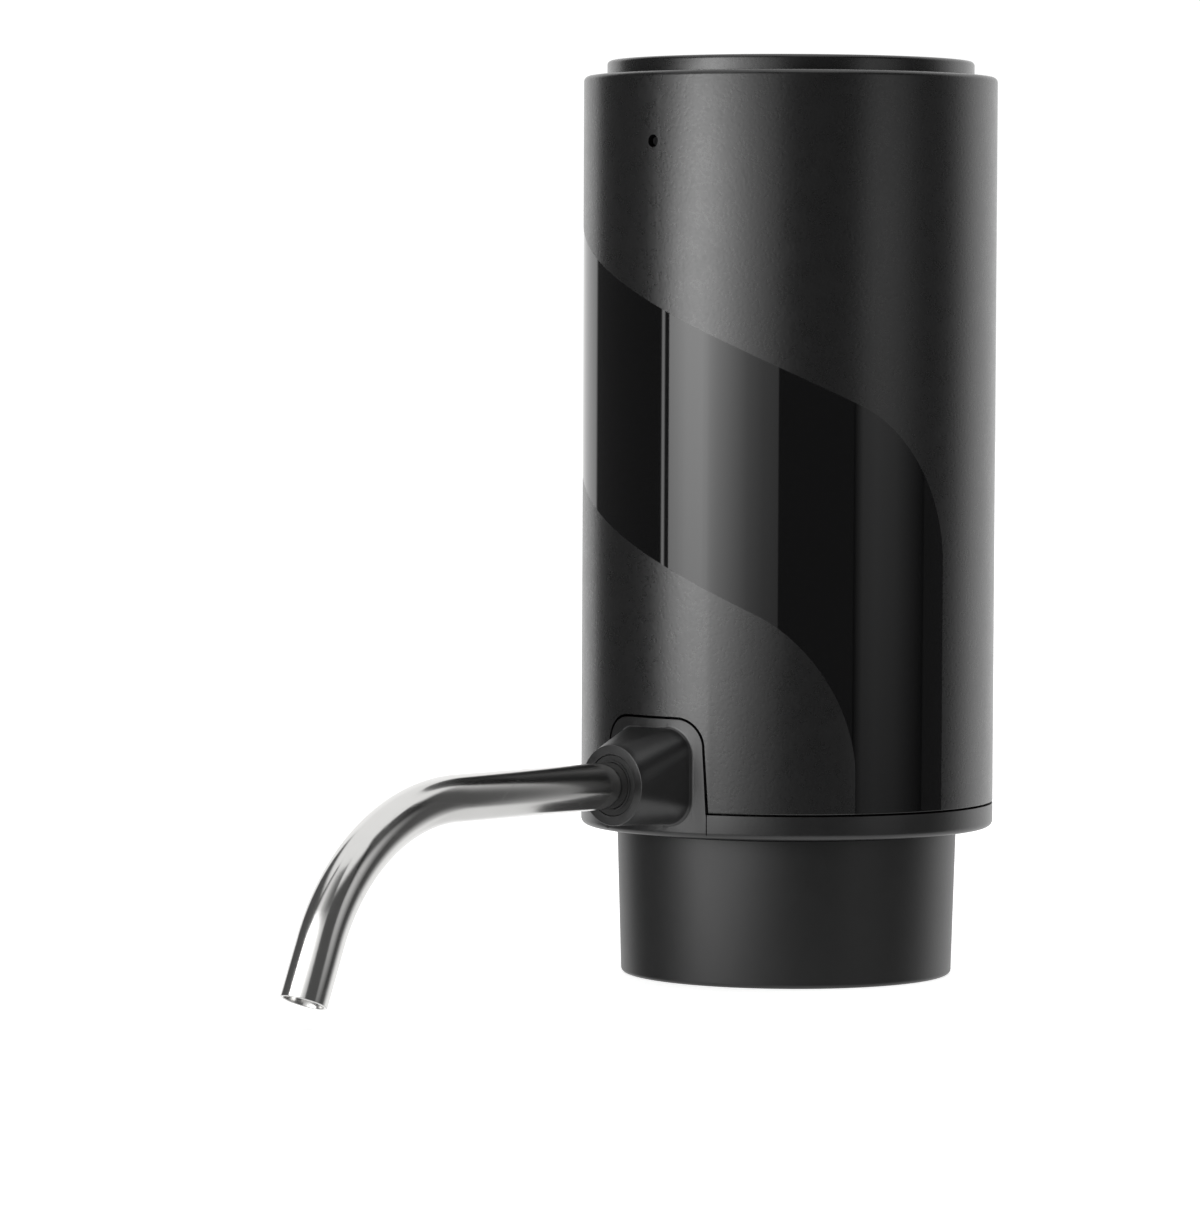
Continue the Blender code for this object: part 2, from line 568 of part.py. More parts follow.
def swept(name, path, radius, bore, sides, *place, **named):
    """A round tube, or a solid rod where the bore is zero, along a path of points."""
    bm = bmesh.new()
    skins = [[], []]
    side = Vector((1, 0, 0))
    for i, point in enumerate(path):
        ahead = path[min(i + 1, len(path) - 1)] - path[max(i - 1, 0)]
        ahead.normalize()
        side = (side - ahead * side.dot(ahead)).normalized()
        across = ahead.cross(side)
        for skin, reach in zip(skins, (radius, bore)):
            turns = [math.tau * k / sides for k in range(sides)]
            loop = [point + reach * (math.cos(t) * side + math.sin(t) * across) for t in turns]
            skin.append([bm.verts.new(p) for p in loop] if reach else [])
    for skin in skins if bore else skins[:1]:
        for row, after in zip(skin, skin[1:]):
            for k in range(sides):
                n = (k + 1) % sides
                bm.faces.new((row[k], row[n], after[n], after[k]))
    for end in (0, -1):
        if bore:
            for k in range(sides):
                n = (k + 1) % sides
                bm.faces.new((skins[0][end][k], skins[0][end][n], skins[1][end][n], skins[1][end][k]))
        else:
            bm.faces.new(skins[0][end])
    return piece_from(name, bm, *place, **named)


def combine(target, tool, operation):
    """Adds or takes away another solid, which stays as a hidden guide."""
    step = target.modifiers.new(tool.name, "BOOLEAN")
    step.operation = operation
    step.solver = "EXACT"
    step.object = tool
    tool.hide_render = True
    tool.display_type = "WIRE"


def add(target, *tools):
    for tool in tools:
        combine(target, tool, "UNION")


def cut(target, *tools):
    for tool in tools:
        combine(target, tool, "DIFFERENCE")


def axis_empty(name, location, rotation=(0, 0, 0)):
    """The empty that a moving group hangs on, on its joint's axis."""
    empty = bpy.data.objects.new(name, None)
    empty.location = location
    empty.rotation_euler = rotation
    bpy.context.scene.collection.objects.link(empty)
    return empty


def arc(centre, radius, start, end, steps):
    """Points of an arc, in degrees, first and last point included."""
    angles = [math.radians(start + (end - start) * i / steps) for i in range(steps + 1)]
    return [(centre[0] + radius * math.cos(a), centre[1] + radius * math.sin(a)) for a in angles]


def on_circle(radius, angle, y=0.0):
    """A place on a circle about the vertical through (0, y)."""
    return (radius * math.cos(angle), y + radius * math.sin(angle))


def rounded_rectangle(half_x, half_y, corner, steps):
    """Points of a rectangle with round corners."""
    points = []
    for sx, sy, start in ((1, 1, 0), (-1, 1, 90), (-1, -1, 180), (1, -1, 270)):
        centre = (sx * (half_x - corner), sy * (half_y - corner))
        points += arc(centre, corner, start, start + 90, steps)
    return points


def smooth_route(knots, steps):
    """A smooth curve through hand-placed points, leaving along the first and last stretch."""
    ends = [2 * knots[0] - knots[1], *knots, 2 * knots[-1] - knots[-2]]
    route = []
    for a, b, c, d in zip(ends, ends[1:], ends[2:], ends[3:]):
        for i in range(steps):
            t = i / steps
            pull = 2 * b + (c - a) * t + (2 * a - 5 * b + 4 * c - d) * t**2 + (3 * b - a - 3 * c + d) * t**3
            route.append(pull / 2)
    return route + [knots[-1]]


def plate_outline(foot_z, grow):
    """The spout plate seen from the front, in X and height above the spout's axis, grown by a gap."""
    foot, top, corner = PLATE_HALF_FOOT + grow, PLATE_HALF_TOP + grow, PLATE_CORNER + grow
    crown = PLATE_RISE + grow
    right = [(foot, foot_z - SPOUT_Z)] + arc((top - corner, crown - corner), corner, 0, 90, EDGE_STEPS)
    return right + [(-x, y) for x, y in reversed(right)]


def make_collar():
    mouth = COLLAR_RADIUS - COLLAR_TAPER
    outline = [(mouth - COLLAR_WALL, 0)]
    outline += arc((mouth - COLLAR_EDGE, COLLAR_EDGE), COLLAR_EDGE, -90, 0, EDGE_STEPS)
    outline += [
        (COLLAR_RADIUS, COLLAR_HEIGHT),
        (STOPPER_NECK + GAP, COLLAR_HEIGHT),
        (STOPPER_NECK + GAP, ROOF_UNDERSIDE),
        (COLLAR_BORE, ROOF_UNDERSIDE),
    ]
    collar = turned("neck_collar", outline, BARREL_SIDES, COLLAR_PLASTIC)
    for i, angle in enumerate(COLLAR_SCREW_ANGLES):
        place = (*on_circle(COLLAR_SCREW_CIRCLE, angle), 0)
        hole = rod(
            f"collar_hole_{i}", SCREW_RADIUS + GAP, ROOF_UNDERSIDE - OVERRUN, COLLAR_HEIGHT + OVERRUN,
            FINE_SIDES, location=place,
        )
        cut(collar, hole)


def make_collar_screws():
    for i, angle in enumerate(COLLAR_SCREW_ANGLES):
        outline = [
            (0, SCREW_HEAD_TOP - SCREW_HEAD + SCREW_RECESS),
            (SCREW_HEAD_RADIUS / 2, SCREW_HEAD_TOP - SCREW_HEAD),
            (SCREW_HEAD_RADIUS, SCREW_HEAD_TOP - SCREW_HEAD),
            (SCREW_HEAD_RADIUS, SCREW_HEAD_TOP),
            (SCREW_RADIUS, SCREW_HEAD_TOP),
            (SCREW_RADIUS, SCREW_HEAD_TOP + SCREW_LENGTH - SCREW_RADIUS),
            (0, SCREW_HEAD_TOP + SCREW_LENGTH),
        ]
        place = (*on_circle(COLLAR_SCREW_CIRCLE, angle), 0)
        turned(f"collar_screw_{i + 1}", outline, FINE_SIDES, STEEL, location=place)


def make_stopper():
    chamfer = STOPPER_CHAMFER
    root = STOPPER_FIN + STOPPER_ROOT_STEP
    outline = [(0, STOPPER_BOTTOM), (STOPPER_CORE - chamfer, STOPPER_BOTTOM)]
    outline.append((STOPPER_CORE, STOPPER_BOTTOM + chamfer))
    pitch = (STOPPER_PLUG - chamfer) / STOPPER_FINS
    for i in range(STOPPER_FINS):
        foot = STOPPER_BOTTOM + chamfer + i * pitch
        outline += [
            (STOPPER_CORE, foot + pitch / 6),
            (STOPPER_FIN, foot + pitch / 2),
            (STOPPER_CORE, foot + pitch * 2 / 3),
        ]
    outline += [
        (root, LIP_SEAT - STOPPER_ROOT_HEIGHT),
        (root, LIP_SEAT),
        (STOPPER_FLANGE, LIP_SEAT),
        (STOPPER_FLANGE, FLANGE_TOP),
        (STOPPER_NECK, FLANGE_TOP),
        (STOPPER_NECK, BASE_BOTTOM),
        (STOPPER_BEAD, BASE_BOTTOM),
        (STOPPER_BEAD, DECK_TOP),
        (0, DECK_TOP),
    ]
    stopper = turned("bottle_stopper", outline, ROUND_SIDES, DARK_SILICONE)
    wine_way = rod(
        "stopper_wine_way", NIPPLE_RADIUS + GAP, STOPPER_BOTTOM - OVERRUN, DECK_TOP + OVERRUN,
        SMALL_SIDES, location=(0, WINE_OFFSET, 0),
    )
    air_way = rod(
        "stopper_air_way", AIR_NIPPLE_RADIUS + GAP, STOPPER_BOTTOM - OVERRUN, DECK_TOP + OVERRUN,
        FINE_SIDES, location=(0, AIR_OFFSET, 0),
    )
    cut(stopper, wine_way, air_way)


def make_nipples():
    foot = STOPPER_BOTTOM - NIPPLE_REACH
    outline = [(NIPPLE_BORE, foot)]
    pitch = (NIPPLE_REACH - GAP) / NIPPLE_BARBS
    for i in range(NIPPLE_BARBS):
        outline += [(NIPPLE_RADIUS, foot + i * pitch), (NIPPLE_BARB, foot + (i + 2 / 3) * pitch)]
        outline.append((NIPPLE_RADIUS, foot + (i + 2 / 3) * pitch + GAP))
    outline += [(NIPPLE_RADIUS, NIPPLE_TOP), (NIPPLE_BORE, NIPPLE_TOP)]
    turned("wine_nipple", outline, SMALL_SIDES, INNER_PLASTIC, location=(0, WINE_OFFSET, 0))
    ring(
        "air_nipple", AIR_NIPPLE_BORE, AIR_NIPPLE_RADIUS, STOPPER_BOTTOM - AIR_NIPPLE_REACH, NIPPLE_TOP,
        FINE_SIDES, INNER_PLASTIC, location=(0, AIR_OFFSET, 0),
    )


def boss_loops():
    """The spout boss from inside the barrel to its round end, a rounded square that becomes a circle."""
    at_root = BARREL_RADIUS - SHELL_WALL
    rows = [
        (at_root, 0, BOSS_FILLET),
        (BARREL_RADIUS - BOSS_FILLET / 2, 0, BOSS_FILLET / 2),
        (BARREL_RADIUS + BOSS_FILLET / 2, 0, 0),
        (BOSS_END - BOSS_END_EDGE, 1, 0),
        (BOSS_END, 1, -BOSS_END_EDGE),
    ]
    loops = []
    for reach, share, grow in rows:
        half_x = BOSS_ROOT_WIDTH + (BOSS_END_RADIUS - BOSS_ROOT_WIDTH) * share + grow
        half_y = BOSS_ROOT_HEIGHT + (BOSS_END_RADIUS - BOSS_ROOT_HEIGHT) * share + grow
        corner = BOSS_ROOT_CORNER + (BOSS_END_RADIUS - BOSS_ROOT_CORNER) * share + grow
        lift = BOSS_ROOT_LIFT * (1 - share)
        outline = rounded_rectangle(half_x, half_y, corner, EDGE_STEPS + 1)
        loops.append([(x, y + lift, reach) for x, y in outline])
    return loops


def make_base(front):
    """Turned with a wall as high as the plate, which is then cut down to the rim and the spigot beside it."""
    outline = [(DECK_HOLE, BASE_BOTTOM)]
    outline += arc((BARREL_RADIUS - BASE_EDGE, BASE_BOTTOM + BASE_EDGE), BASE_EDGE, -90, 0, EDGE_STEPS)
    outline += [
        (BARREL_RADIUS, PLATE_TOP + OVERRUN),
        (SPIGOT_BORE, PLATE_TOP + OVERRUN),
        (SPIGOT_BORE, DECK_TOP),
        (DECK_HOLE, DECK_TOP),
    ]
    base = turned("base", outline, BARREL_SIDES, BLACK_PLASTIC)
    outline = [
        (SPIGOT_RADIUS, BASE_RIM),
        (BARREL_RADIUS + OVERRUN, BASE_RIM),
        (BARREL_RADIUS + OVERRUN, PLATE_TOP + 2 * OVERRUN),
        (SPIGOT_BORE - OVERRUN, PLATE_TOP + 2 * OVERRUN),
        (SPIGOT_BORE - OVERRUN, SPIGOT_TOP),
        (SPIGOT_RADIUS, SPIGOT_TOP),
    ]
    beside_plate = turned("beside_plate", outline, BARREL_SIDES)
    plate = prism(
        "plate_stock", plate_outline(BASE_BOTTOM + BASE_EDGE, 0), SPIGOT_BORE - 2 * OVERRUN,
        BARREL_RADIUS + 2 * OVERRUN, parent=front,
    )
    cut(beside_plate, plate)
    cut(base, beside_plate)
    boss = lofted("boss_stock", boss_loops(), parent=front)
    add(base, boss)
    for i, angle in enumerate(SNAP_ANGLES):
        snap = block(
            f"snap_{i}", (SPIGOT_RADIUS - SPIGOT_WALL / 2, -SNAP_WIDTH / 2, SPIGOT_TOP - 2 * SNAP_HEIGHT),
            (SPIGOT_RADIUS + SNAP_DEPTH, SNAP_WIDTH / 2, SPIGOT_TOP - SNAP_HEIGHT), rotation=(0, 0, angle),
        )
        add(base, snap)
    seat = rod(
        "seal_seat", SEAL_RADIUS + GAP, SPIGOT_BORE - OVERRUN, BOSS_END + OVERRUN, ROUND_SIDES,
        parent=front,
    )
    cut(base, seat)
    for i, angle in enumerate(COLLAR_SCREW_ANGLES):
        place = (*on_circle(COLLAR_SCREW_CIRCLE, angle), 0)
        hole = rod(
            f"deck_hole_{i}", SCREW_RADIUS + GAP, BASE_BOTTOM - OVERRUN, DECK_TOP + OVERRUN, FINE_SIDES,
            location=place,
        )
        cut(base, hole)


def make_gasket(front):
    """A ring in the seam, open where the plate stands."""
    low = BASE_RIM + GAP
    gasket = ring(
        "seam_gasket", BORE, BORE + GASKET_WIDTH, low, low + GASKET_HEIGHT, BARREL_SIDES, DARK_SILICONE,
    )
    opening = prism(
        "gasket_opening", plate_outline(BASE_BOTTOM, 2 * GAP), SPIGOT_BORE, BARREL_RADIUS + OVERRUN,
        parent=front,
    )
    cut(gasket, opening)


def make_shell(front):
    gasket_top = BASE_RIM + GASKET_HEIGHT + 2 * GAP
    outline = [(GASKET_BORE, SHELL_BOTTOM), (BARREL_RADIUS, SHELL_BOTTOM)]
    outline += arc((BARREL_RADIUS - RIM_EDGE, SHELL_TOP - RIM_EDGE), RIM_EDGE, 0, 90, EDGE_STEPS)
    outline += [
        (BORE, SHELL_TOP),
        (BORE, LEDGE_TOP),
        (LEDGE_BORE, LEDGE_TOP),
        (LEDGE_BORE, LEDGE_BOTTOM),
        (BORE, LEDGE_BOTTOM),
        (BORE, gasket_top),
        (GASKET_BORE, gasket_top),
    ]
    shell = turned("shell", outline, BARREL_SIDES, BLACK_PLASTIC)
    notch = prism(
        "plate_notch", plate_outline(SHELL_BOTTOM - OVERRUN, GAP), SPIGOT_BORE, BARREL_RADIUS + OVERRUN,
        parent=front,
    )
    light_way = rod(
        "light_way", LIGHT_HOLE, BORE - OVERRUN, BARREL_RADIUS + OVERRUN, FINE_SIDES,
        location=(0, 0, LIGHT_Z), rotation=FACING_FRONT,
    )
    slot = prism(
        "usb_slot",
        rounded_rectangle(USB_HALF_WIDTH + GAP, USB_HEIGHT / 2 + GAP, USB_HEIGHT / 2 + GAP, USB_CORNER_STEPS),
        -BARREL_RADIUS - OVERRUN, -BORE + OVERRUN, location=(0, 0, USB_Z), rotation=FACING_FRONT,
    )
    cut(shell, notch, light_way, slot)
    for i, angle in enumerate(SNAP_ANGLES):
        pocket = block(
            f"snap_pocket_{i}", (BORE - OVERRUN, -SNAP_WIDTH / 2 - GAP, SPIGOT_TOP - 2 * SNAP_HEIGHT - GAP),
            (BORE + SNAP_DEPTH + GAP, SNAP_WIDTH / 2 + GAP, SPIGOT_TOP - SNAP_HEIGHT + GAP),
            rotation=(0, 0, angle),
        )
        cut(shell, pocket)


def make_light_guide():
    inner = BORE - GAP - LIGHT_FLANGE_DEPTH
    outline = [
        (0, inner),
        (LIGHT_FLANGE, inner),
        (LIGHT_FLANGE, inner + LIGHT_FLANGE_DEPTH - GAP),
        (LIGHT_PIN, inner + LIGHT_FLANGE_DEPTH - GAP),
        (LIGHT_PIN, BARREL_RADIUS - LIGHT_RECESS),
        (0, BARREL_RADIUS - LIGHT_RECESS),
    ]
    turned("light_guide", outline, FINE_SIDES, CLEAR_PLASTIC, location=(0, 0, LIGHT_Z), rotation=FACING_FRONT)


def make_seal(spout_axis):
    """The sleeve between spout and boss, with a raised lip around the tube."""
    bore = TUBE_RADIUS + CLOSE_GAP
    outline = [
        (bore, SEAL_INNER_END),
        (SEAL_RADIUS, SEAL_INNER_END),
        (SEAL_RADIUS, SEAL_OUTER_END),
        (bore + SEAL_LIP, SEAL_OUTER_END),
        (bore + SEAL_LIP / 2, SEAL_OUTER_END + SEAL_LIP),
        (bore, SEAL_OUTER_END + SEAL_LIP),
    ]
    turned("spout_seal", outline, TUBE_SIDES, DARK_SILICONE, parent=spout_axis)


def spout_path():
    """The tube's centreline in the spout's own frame: +Z outwards, +Y up."""
    bend_start = BARREL_RADIUS + TUBE_STRAIGHT
    path = [Vector((0, 0, SEAL_INNER_END + TUBE_SEAT)), Vector((0, 0, bend_start))]
    for i in range(1, TUBE_BEND_STEPS + 1):
        turn = TUBE_BEND * i / TUBE_BEND_STEPS
        drop = TUBE_BEND_RADIUS * (1 - math.cos(turn))
        path.append(Vector((0, -drop, bend_start + TUBE_BEND_RADIUS * math.sin(turn))))
    ahead = Vector((0, -math.sin(TUBE_BEND), math.cos(TUBE_BEND)))
    path.append(path[-1] + ahead * TUBE_TAIL)
    return path


def make_spout(spout_axis):
    swept(
        "spout_tube", spout_path(), TUBE_RADIUS, TUBE_RADIUS - TUBE_WALL, TUBE_SIDES, POLISHED_STEEL,
        parent=spout_axis,
    )


def make_manifold():
    arm_end = SEAL_INNER_END - GAP
    outline = [
        (0, MANIFOLD_BOTTOM),
        (MANIFOLD_FOOT_RADIUS, MANIFOLD_BOTTOM),
        (MANIFOLD_FOOT_RADIUS, MANIFOLD_BOTTOM + MANIFOLD_FOOT),
        (MANIFOLD_RADIUS, MANIFOLD_BOTTOM + MANIFOLD_FOOT),
        (MANIFOLD_RADIUS, MANIFOLD_CROWN),
        (0, MANIFOLD_CROWN),
    ]
    manifold = turned("manifold", outline, ROUND_SIDES, INNER_PLASTIC)
    across = {"location": (0, 0, SPOUT_Z), "rotation": FACING_FRONT}
    behind = {"location": (0, AIR_OFFSET, 0)}
    below = {"location": (0, WINE_OFFSET, 0)}
    arm = rod("outlet_arm", ARM_RADIUS, ARM_RADIUS, arm_end, SMALL_SIDES, **across)
    tower = rod("valve_tower", TOWER_RADIUS, SPOUT_Z, TOWER_TOP, SMALL_SIDES, **behind)
    add(manifold, arm, tower)
    nipple_socket = rod(
        "nipple_socket", NIPPLE_RADIUS + GAP, MANIFOLD_BOTTOM - OVERRUN, NIPPLE_TOP + GAP, SMALL_SIDES,
        **below,
    )
    wine_way = rod("wine_way", WINE_BORE, NIPPLE_TOP, SPOUT_Z + JET_RISE + JET_BORE, FINE_SIDES, **below)
    outlet_way = rod(
        "outlet_way", WINE_BORE, -WINE_OFFSET - WINE_BORE / 2, arm_end + OVERRUN, FINE_SIDES, **across,
    )
    air_socket = rod(
        "air_socket", AIR_NIPPLE_RADIUS + GAP, MANIFOLD_BOTTOM - OVERRUN, NIPPLE_TOP + GAP, FINE_SIDES,
        **behind,
    )
    air_way = rod("air_way", AIR_BORE, NIPPLE_TOP, POCKET_FLOOR + OVERRUN, FINE_SIDES, **behind)
    pocket = rod("valve_pocket", VALVE_POCKET, POCKET_FLOOR, TOWER_TOP + OVERRUN, SMALL_SIDES, **behind)
    jet = rod(
        "air_jet", JET_BORE, -AIR_OFFSET, -WINE_OFFSET, FINE_SIDES,
        location=(0, 0, SPOUT_Z + JET_RISE), rotation=FACING_FRONT,
    )
    cut(manifold, nipple_socket, wine_way, outlet_way, air_socket, air_way, pocket, jet)


def make_check_valve():
    flange = VALVE_POCKET - GAP
    flange_top = TOWER_TOP - GAP
    flange_low = flange_top - VALVE_FLANGE_DEPTH
    bill_low = flange_low - VALVE_BILL
    outline = [
        (0, bill_low),
        (VALVE_LIP_RADIUS, bill_low),
        (VALVE_BILL_RADIUS, flange_low),
        (flange, flange_low),
        (flange, flange_top),
        (VALVE_BORE, flange_top),
        (VALVE_BORE, flange_low),
        (0, bill_low + VALVE_FLANGE_DEPTH),
    ]
    turned("check_valve", outline, SMALL_SIDES, PALE_SILICONE, location=(0, AIR_OFFSET, 0))
    outline = [
        (BARB_BORE, CAP_BOTTOM),
        (TOWER_RADIUS, CAP_BOTTOM),
        (TOWER_RADIUS, CAP_TOP),
        (BARB_RADIUS, CAP_TOP),
        (BARB_RADIUS, CAP_TOP + BARB_LENGTH),
        (BARB_BORE, CAP_TOP + BARB_LENGTH),
    ]
    turned("valve_cap", outline, SMALL_SIDES, INNER_PLASTIC, location=(0, AIR_OFFSET, 0))


def make_air_hose():
    """The hose from the pump's nozzle, over a short level run, down to the check valve's cap."""
    high = COVER_BOTTOM - GAP
    low = CAP_TOP + GAP
    nozzle_tip = COVER_BOTTOM - BARB_LENGTH - GAP
    barb_tip = CAP_TOP + BARB_LENGTH + GAP
    bend = (nozzle_tip - barb_tip) / 2
    level = barb_tip + bend
    path = [Vector((0, PUMP_Y, high))]
    for i in range(LEAD_STEPS + 1):
        turn = math.radians(90) * i / LEAD_STEPS
        path.append(Vector((0, PUMP_Y + bend * (1 - math.cos(turn)), nozzle_tip - bend * math.sin(turn))))
    for i in range(LEAD_STEPS + 1):
        turn = math.radians(90) * i / LEAD_STEPS
        path.append(
            Vector((0, AIR_OFFSET - bend * (1 - math.sin(turn)), level - bend * (1 - math.cos(turn)))),
        )
    path.append(Vector((0, AIR_OFFSET, low)))
    swept("air_hose", path, HOSE_RADIUS, BARB_RADIUS + GAP, HOSE_SIDES, PALE_SILICONE)


def make_pump_stator(pump):
    """The pump's cover, valve plate, valves and crankcase, all on the pump's axis."""
    chamber_floor = COVER_BOTTOM + COVER_FLOOR
    nozzle_end = COVER_BOTTOM - BARB_LENGTH
    ring_outer = COVER_RING + COVER_RING_WALL
    outline = [
        (BARB_BORE, nozzle_end),
        (BARB_RADIUS, nozzle_end),
        (BARB_RADIUS, COVER_BOTTOM),
        (PUMP_RADIUS, COVER_BOTTOM),
        (PUMP_RADIUS, COVER_TOP),
        (PUMP_RADIUS - COVER_RIM, COVER_TOP),
        (PUMP_RADIUS - COVER_RIM, chamber_floor),
        (ring_outer, chamber_floor),
        (ring_outer, COVER_TOP),
        (COVER_RING, COVER_TOP),
        (COVER_RING, chamber_floor),
        (BARB_BORE, chamber_floor),
    ]
    cover = turned("pump_cover", outline, ROUND_SIDES, INNER_PLASTIC, parent=pump)
    plate = rod(
        "valve_plate", PUMP_RADIUS, VALVE_PLATE_BOTTOM, VALVE_PLATE_TOP, ROUND_SIDES, INNER_PLASTIC,
        parent=pump,
    )
    pivot = rod(
        "pivot_post", PIVOT_RADIUS, VALVE_PLATE_TOP - SINK, VALVE_PLATE_TOP + PIVOT_HEIGHT, FINE_SIDES,
        parent=pump,
    )
    add(plate, pivot)
    ring_bottom = CRANKCASE_BOTTOM
    outline = [
        (CRANKCASE_BORE, ring_bottom),
        (PUMP_RADIUS, ring_bottom),
        (PUMP_RADIUS, CRANKCASE_TOP),
        (MOTOR_BOSS_RADIUS + GAP, CRANKCASE_TOP),
        (MOTOR_BOSS_RADIUS + GAP, CRANKCASE_ROOF_Z),
        (CRANKCASE_BORE, CRANKCASE_ROOF_Z),
    ]
    crankcase = turned("crankcase", outline, ROUND_SIDES, INNER_PLASTIC, parent=pump)
    for i, angle in enumerate(PUMP_SCREW_ANGLES):
        place = {"parent": pump, "location": (*on_circle(COLUMN_CIRCLE, angle), 0)}
        lug = rod(f"cover_lug_{i}", COLUMN_RADIUS, COVER_BOTTOM + SINK, COVER_TOP - SINK, FINE_SIDES, **place)
        column = rod(
            f"column_{i}", COLUMN_RADIUS, ring_bottom + SINK, CRANKCASE_ROOF_Z + SINK, FINE_SIDES, **place,
        )
        way = rod(
            f"screw_way_{i}", PUMP_SCREW_RADIUS + GAP, COVER_BOTTOM - OVERRUN,
            ring_bottom + PUMP_SCREW_BITE + GAP, FINE_SIDES, **place,
        )
        add(cover, lug)
        add(crankcase, column)
        cut(cover, way)
        cut(plate, way)
        cut(crankcase, way)
    for i, angle in enumerate(CUP_ANGLES):
        outlet = rod(
            f"outlet_hole_{i}", PORT_RADIUS, VALVE_PLATE_BOTTOM - OVERRUN, VALVE_PLATE_TOP + OVERRUN,
            FINE_SIDES,
            parent=pump, location=(*on_circle(OUTLET_CIRCLE, angle), 0),
        )
        intake = rod(
            f"intake_hole_{i}", PORT_RADIUS, VALVE_PLATE_BOTTOM - OVERRUN, VALVE_PLATE_TOP + OVERRUN,
            FINE_SIDES,
            parent=pump, location=(*on_circle(INTAKE_HOLE_CIRCLE, angle), 0),
        )
        stem_hole = rod(
            f"intake_stem_hole_{i}", VALVE_STEM + STEM_HOLE_GAP, VALVE_PLATE_TOP - VALVE_STEM_LENGTH,
            VALVE_PLATE_TOP + OVERRUN, FINE_SIDES, parent=pump,
            location=(*on_circle(INTAKE_CIRCLE, angle), 0),
        )
        notch = block(
            f"intake_notch_{i}", (PUMP_RADIUS - COVER_RIM - OVERRUN, -COVER_NOTCH, COVER_TOP - COVER_NOTCH),
            (PUMP_RADIUS + OVERRUN, COVER_NOTCH, COVER_TOP + OVERRUN), parent=pump, rotation=(0, 0, angle),
        )
        cut(plate, outlet, intake, stem_hole)
        cut(cover, notch)
        outline = [
            (0, VALVE_PLATE_TOP + GAP / 2 - VALVE_STEM_LENGTH + GAP),
            (VALVE_STEM, VALVE_PLATE_TOP + GAP / 2 - VALVE_STEM_LENGTH + GAP),
            (VALVE_STEM, VALVE_PLATE_TOP + GAP / 2),
            (INTAKE_VALVE_RADIUS, VALVE_PLATE_TOP + GAP / 2),
            (INTAKE_VALVE_RADIUS, VALVE_PLATE_TOP + GAP / 2 + VALVE_SKIN),
            (0, VALVE_PLATE_TOP + GAP / 2 + VALVE_SKIN),
        ]
        turned(
            f"intake_valve_{i + 1}", outline, FINE_SIDES, PALE_SILICONE,
            parent=pump, location=(*on_circle(INTAKE_CIRCLE, angle), 0),
        )
    valve_top = VALVE_PLATE_BOTTOM - GAP / 2
    outline = [
        (0, valve_top - VALVE_SKIN),
        (OUTLET_VALVE_RADIUS, valve_top - VALVE_SKIN),
        (OUTLET_VALVE_RADIUS, valve_top),
        (VALVE_STEM, valve_top),
        (VALVE_STEM, valve_top + VALVE_STEM_LENGTH - GAP),
        (0, valve_top + VALVE_STEM_LENGTH - GAP),
    ]
    turned("outlet_valve", outline, SMALL_SIDES, PALE_SILICONE, parent=pump)
    outlet_stem_hole = rod(
        "outlet_stem_hole", VALVE_STEM + STEM_HOLE_GAP, VALVE_PLATE_BOTTOM - OVERRUN,
        VALVE_PLATE_BOTTOM + VALVE_STEM_LENGTH, FINE_SIDES, parent=pump,
    )
    cut(plate, outlet_stem_hole)
    vent = rod(
        "crankcase_vent", VENT_RADIUS, CRANKCASE_BORE - OVERRUN, PUMP_RADIUS + OVERRUN, FINE_SIDES,
        parent=pump, location=(0, 0, ECCENTRIC_BOTTOM), rotation=FACING_FRONT,
    )
    cut(crankcase, vent)


def make_pump_screws(pump):
    head_top = COVER_BOTTOM - GAP
    for i, angle in enumerate(PUMP_SCREW_ANGLES):
        outline = [
            (0, head_top - PUMP_SCREW_HEAD),
            (PUMP_SCREW_HEAD_RADIUS, head_top - PUMP_SCREW_HEAD),
            (PUMP_SCREW_HEAD_RADIUS, head_top),
            (PUMP_SCREW_RADIUS, head_top),
            (PUMP_SCREW_RADIUS, CRANKCASE_BOTTOM + PUMP_SCREW_BITE),
            (0, CRANKCASE_BOTTOM + PUMP_SCREW_BITE),
        ]
        place = (*on_circle(COLUMN_CIRCLE, angle), 0)
        turned(f"pump_screw_{i + 1}", outline, FINE_SIDES, STEEL, parent=pump, location=place)


def tilted(x, y, rise):
    """A place on the wobble plate at rest, given in the plate's own frame above its pivot."""
    return Matrix.Rotation(TILT, 3, "X") @ Vector((x, y, rise)) + Vector((0, 0, PIVOT_Z))


def level_loop(centre, radius, sides):
    """A level ring of points around a centre."""
    turns = [math.tau * k / sides for k in range(sides)]
    return [centre + Vector((radius * math.cos(t), radius * math.sin(t), 0)) for t in turns]


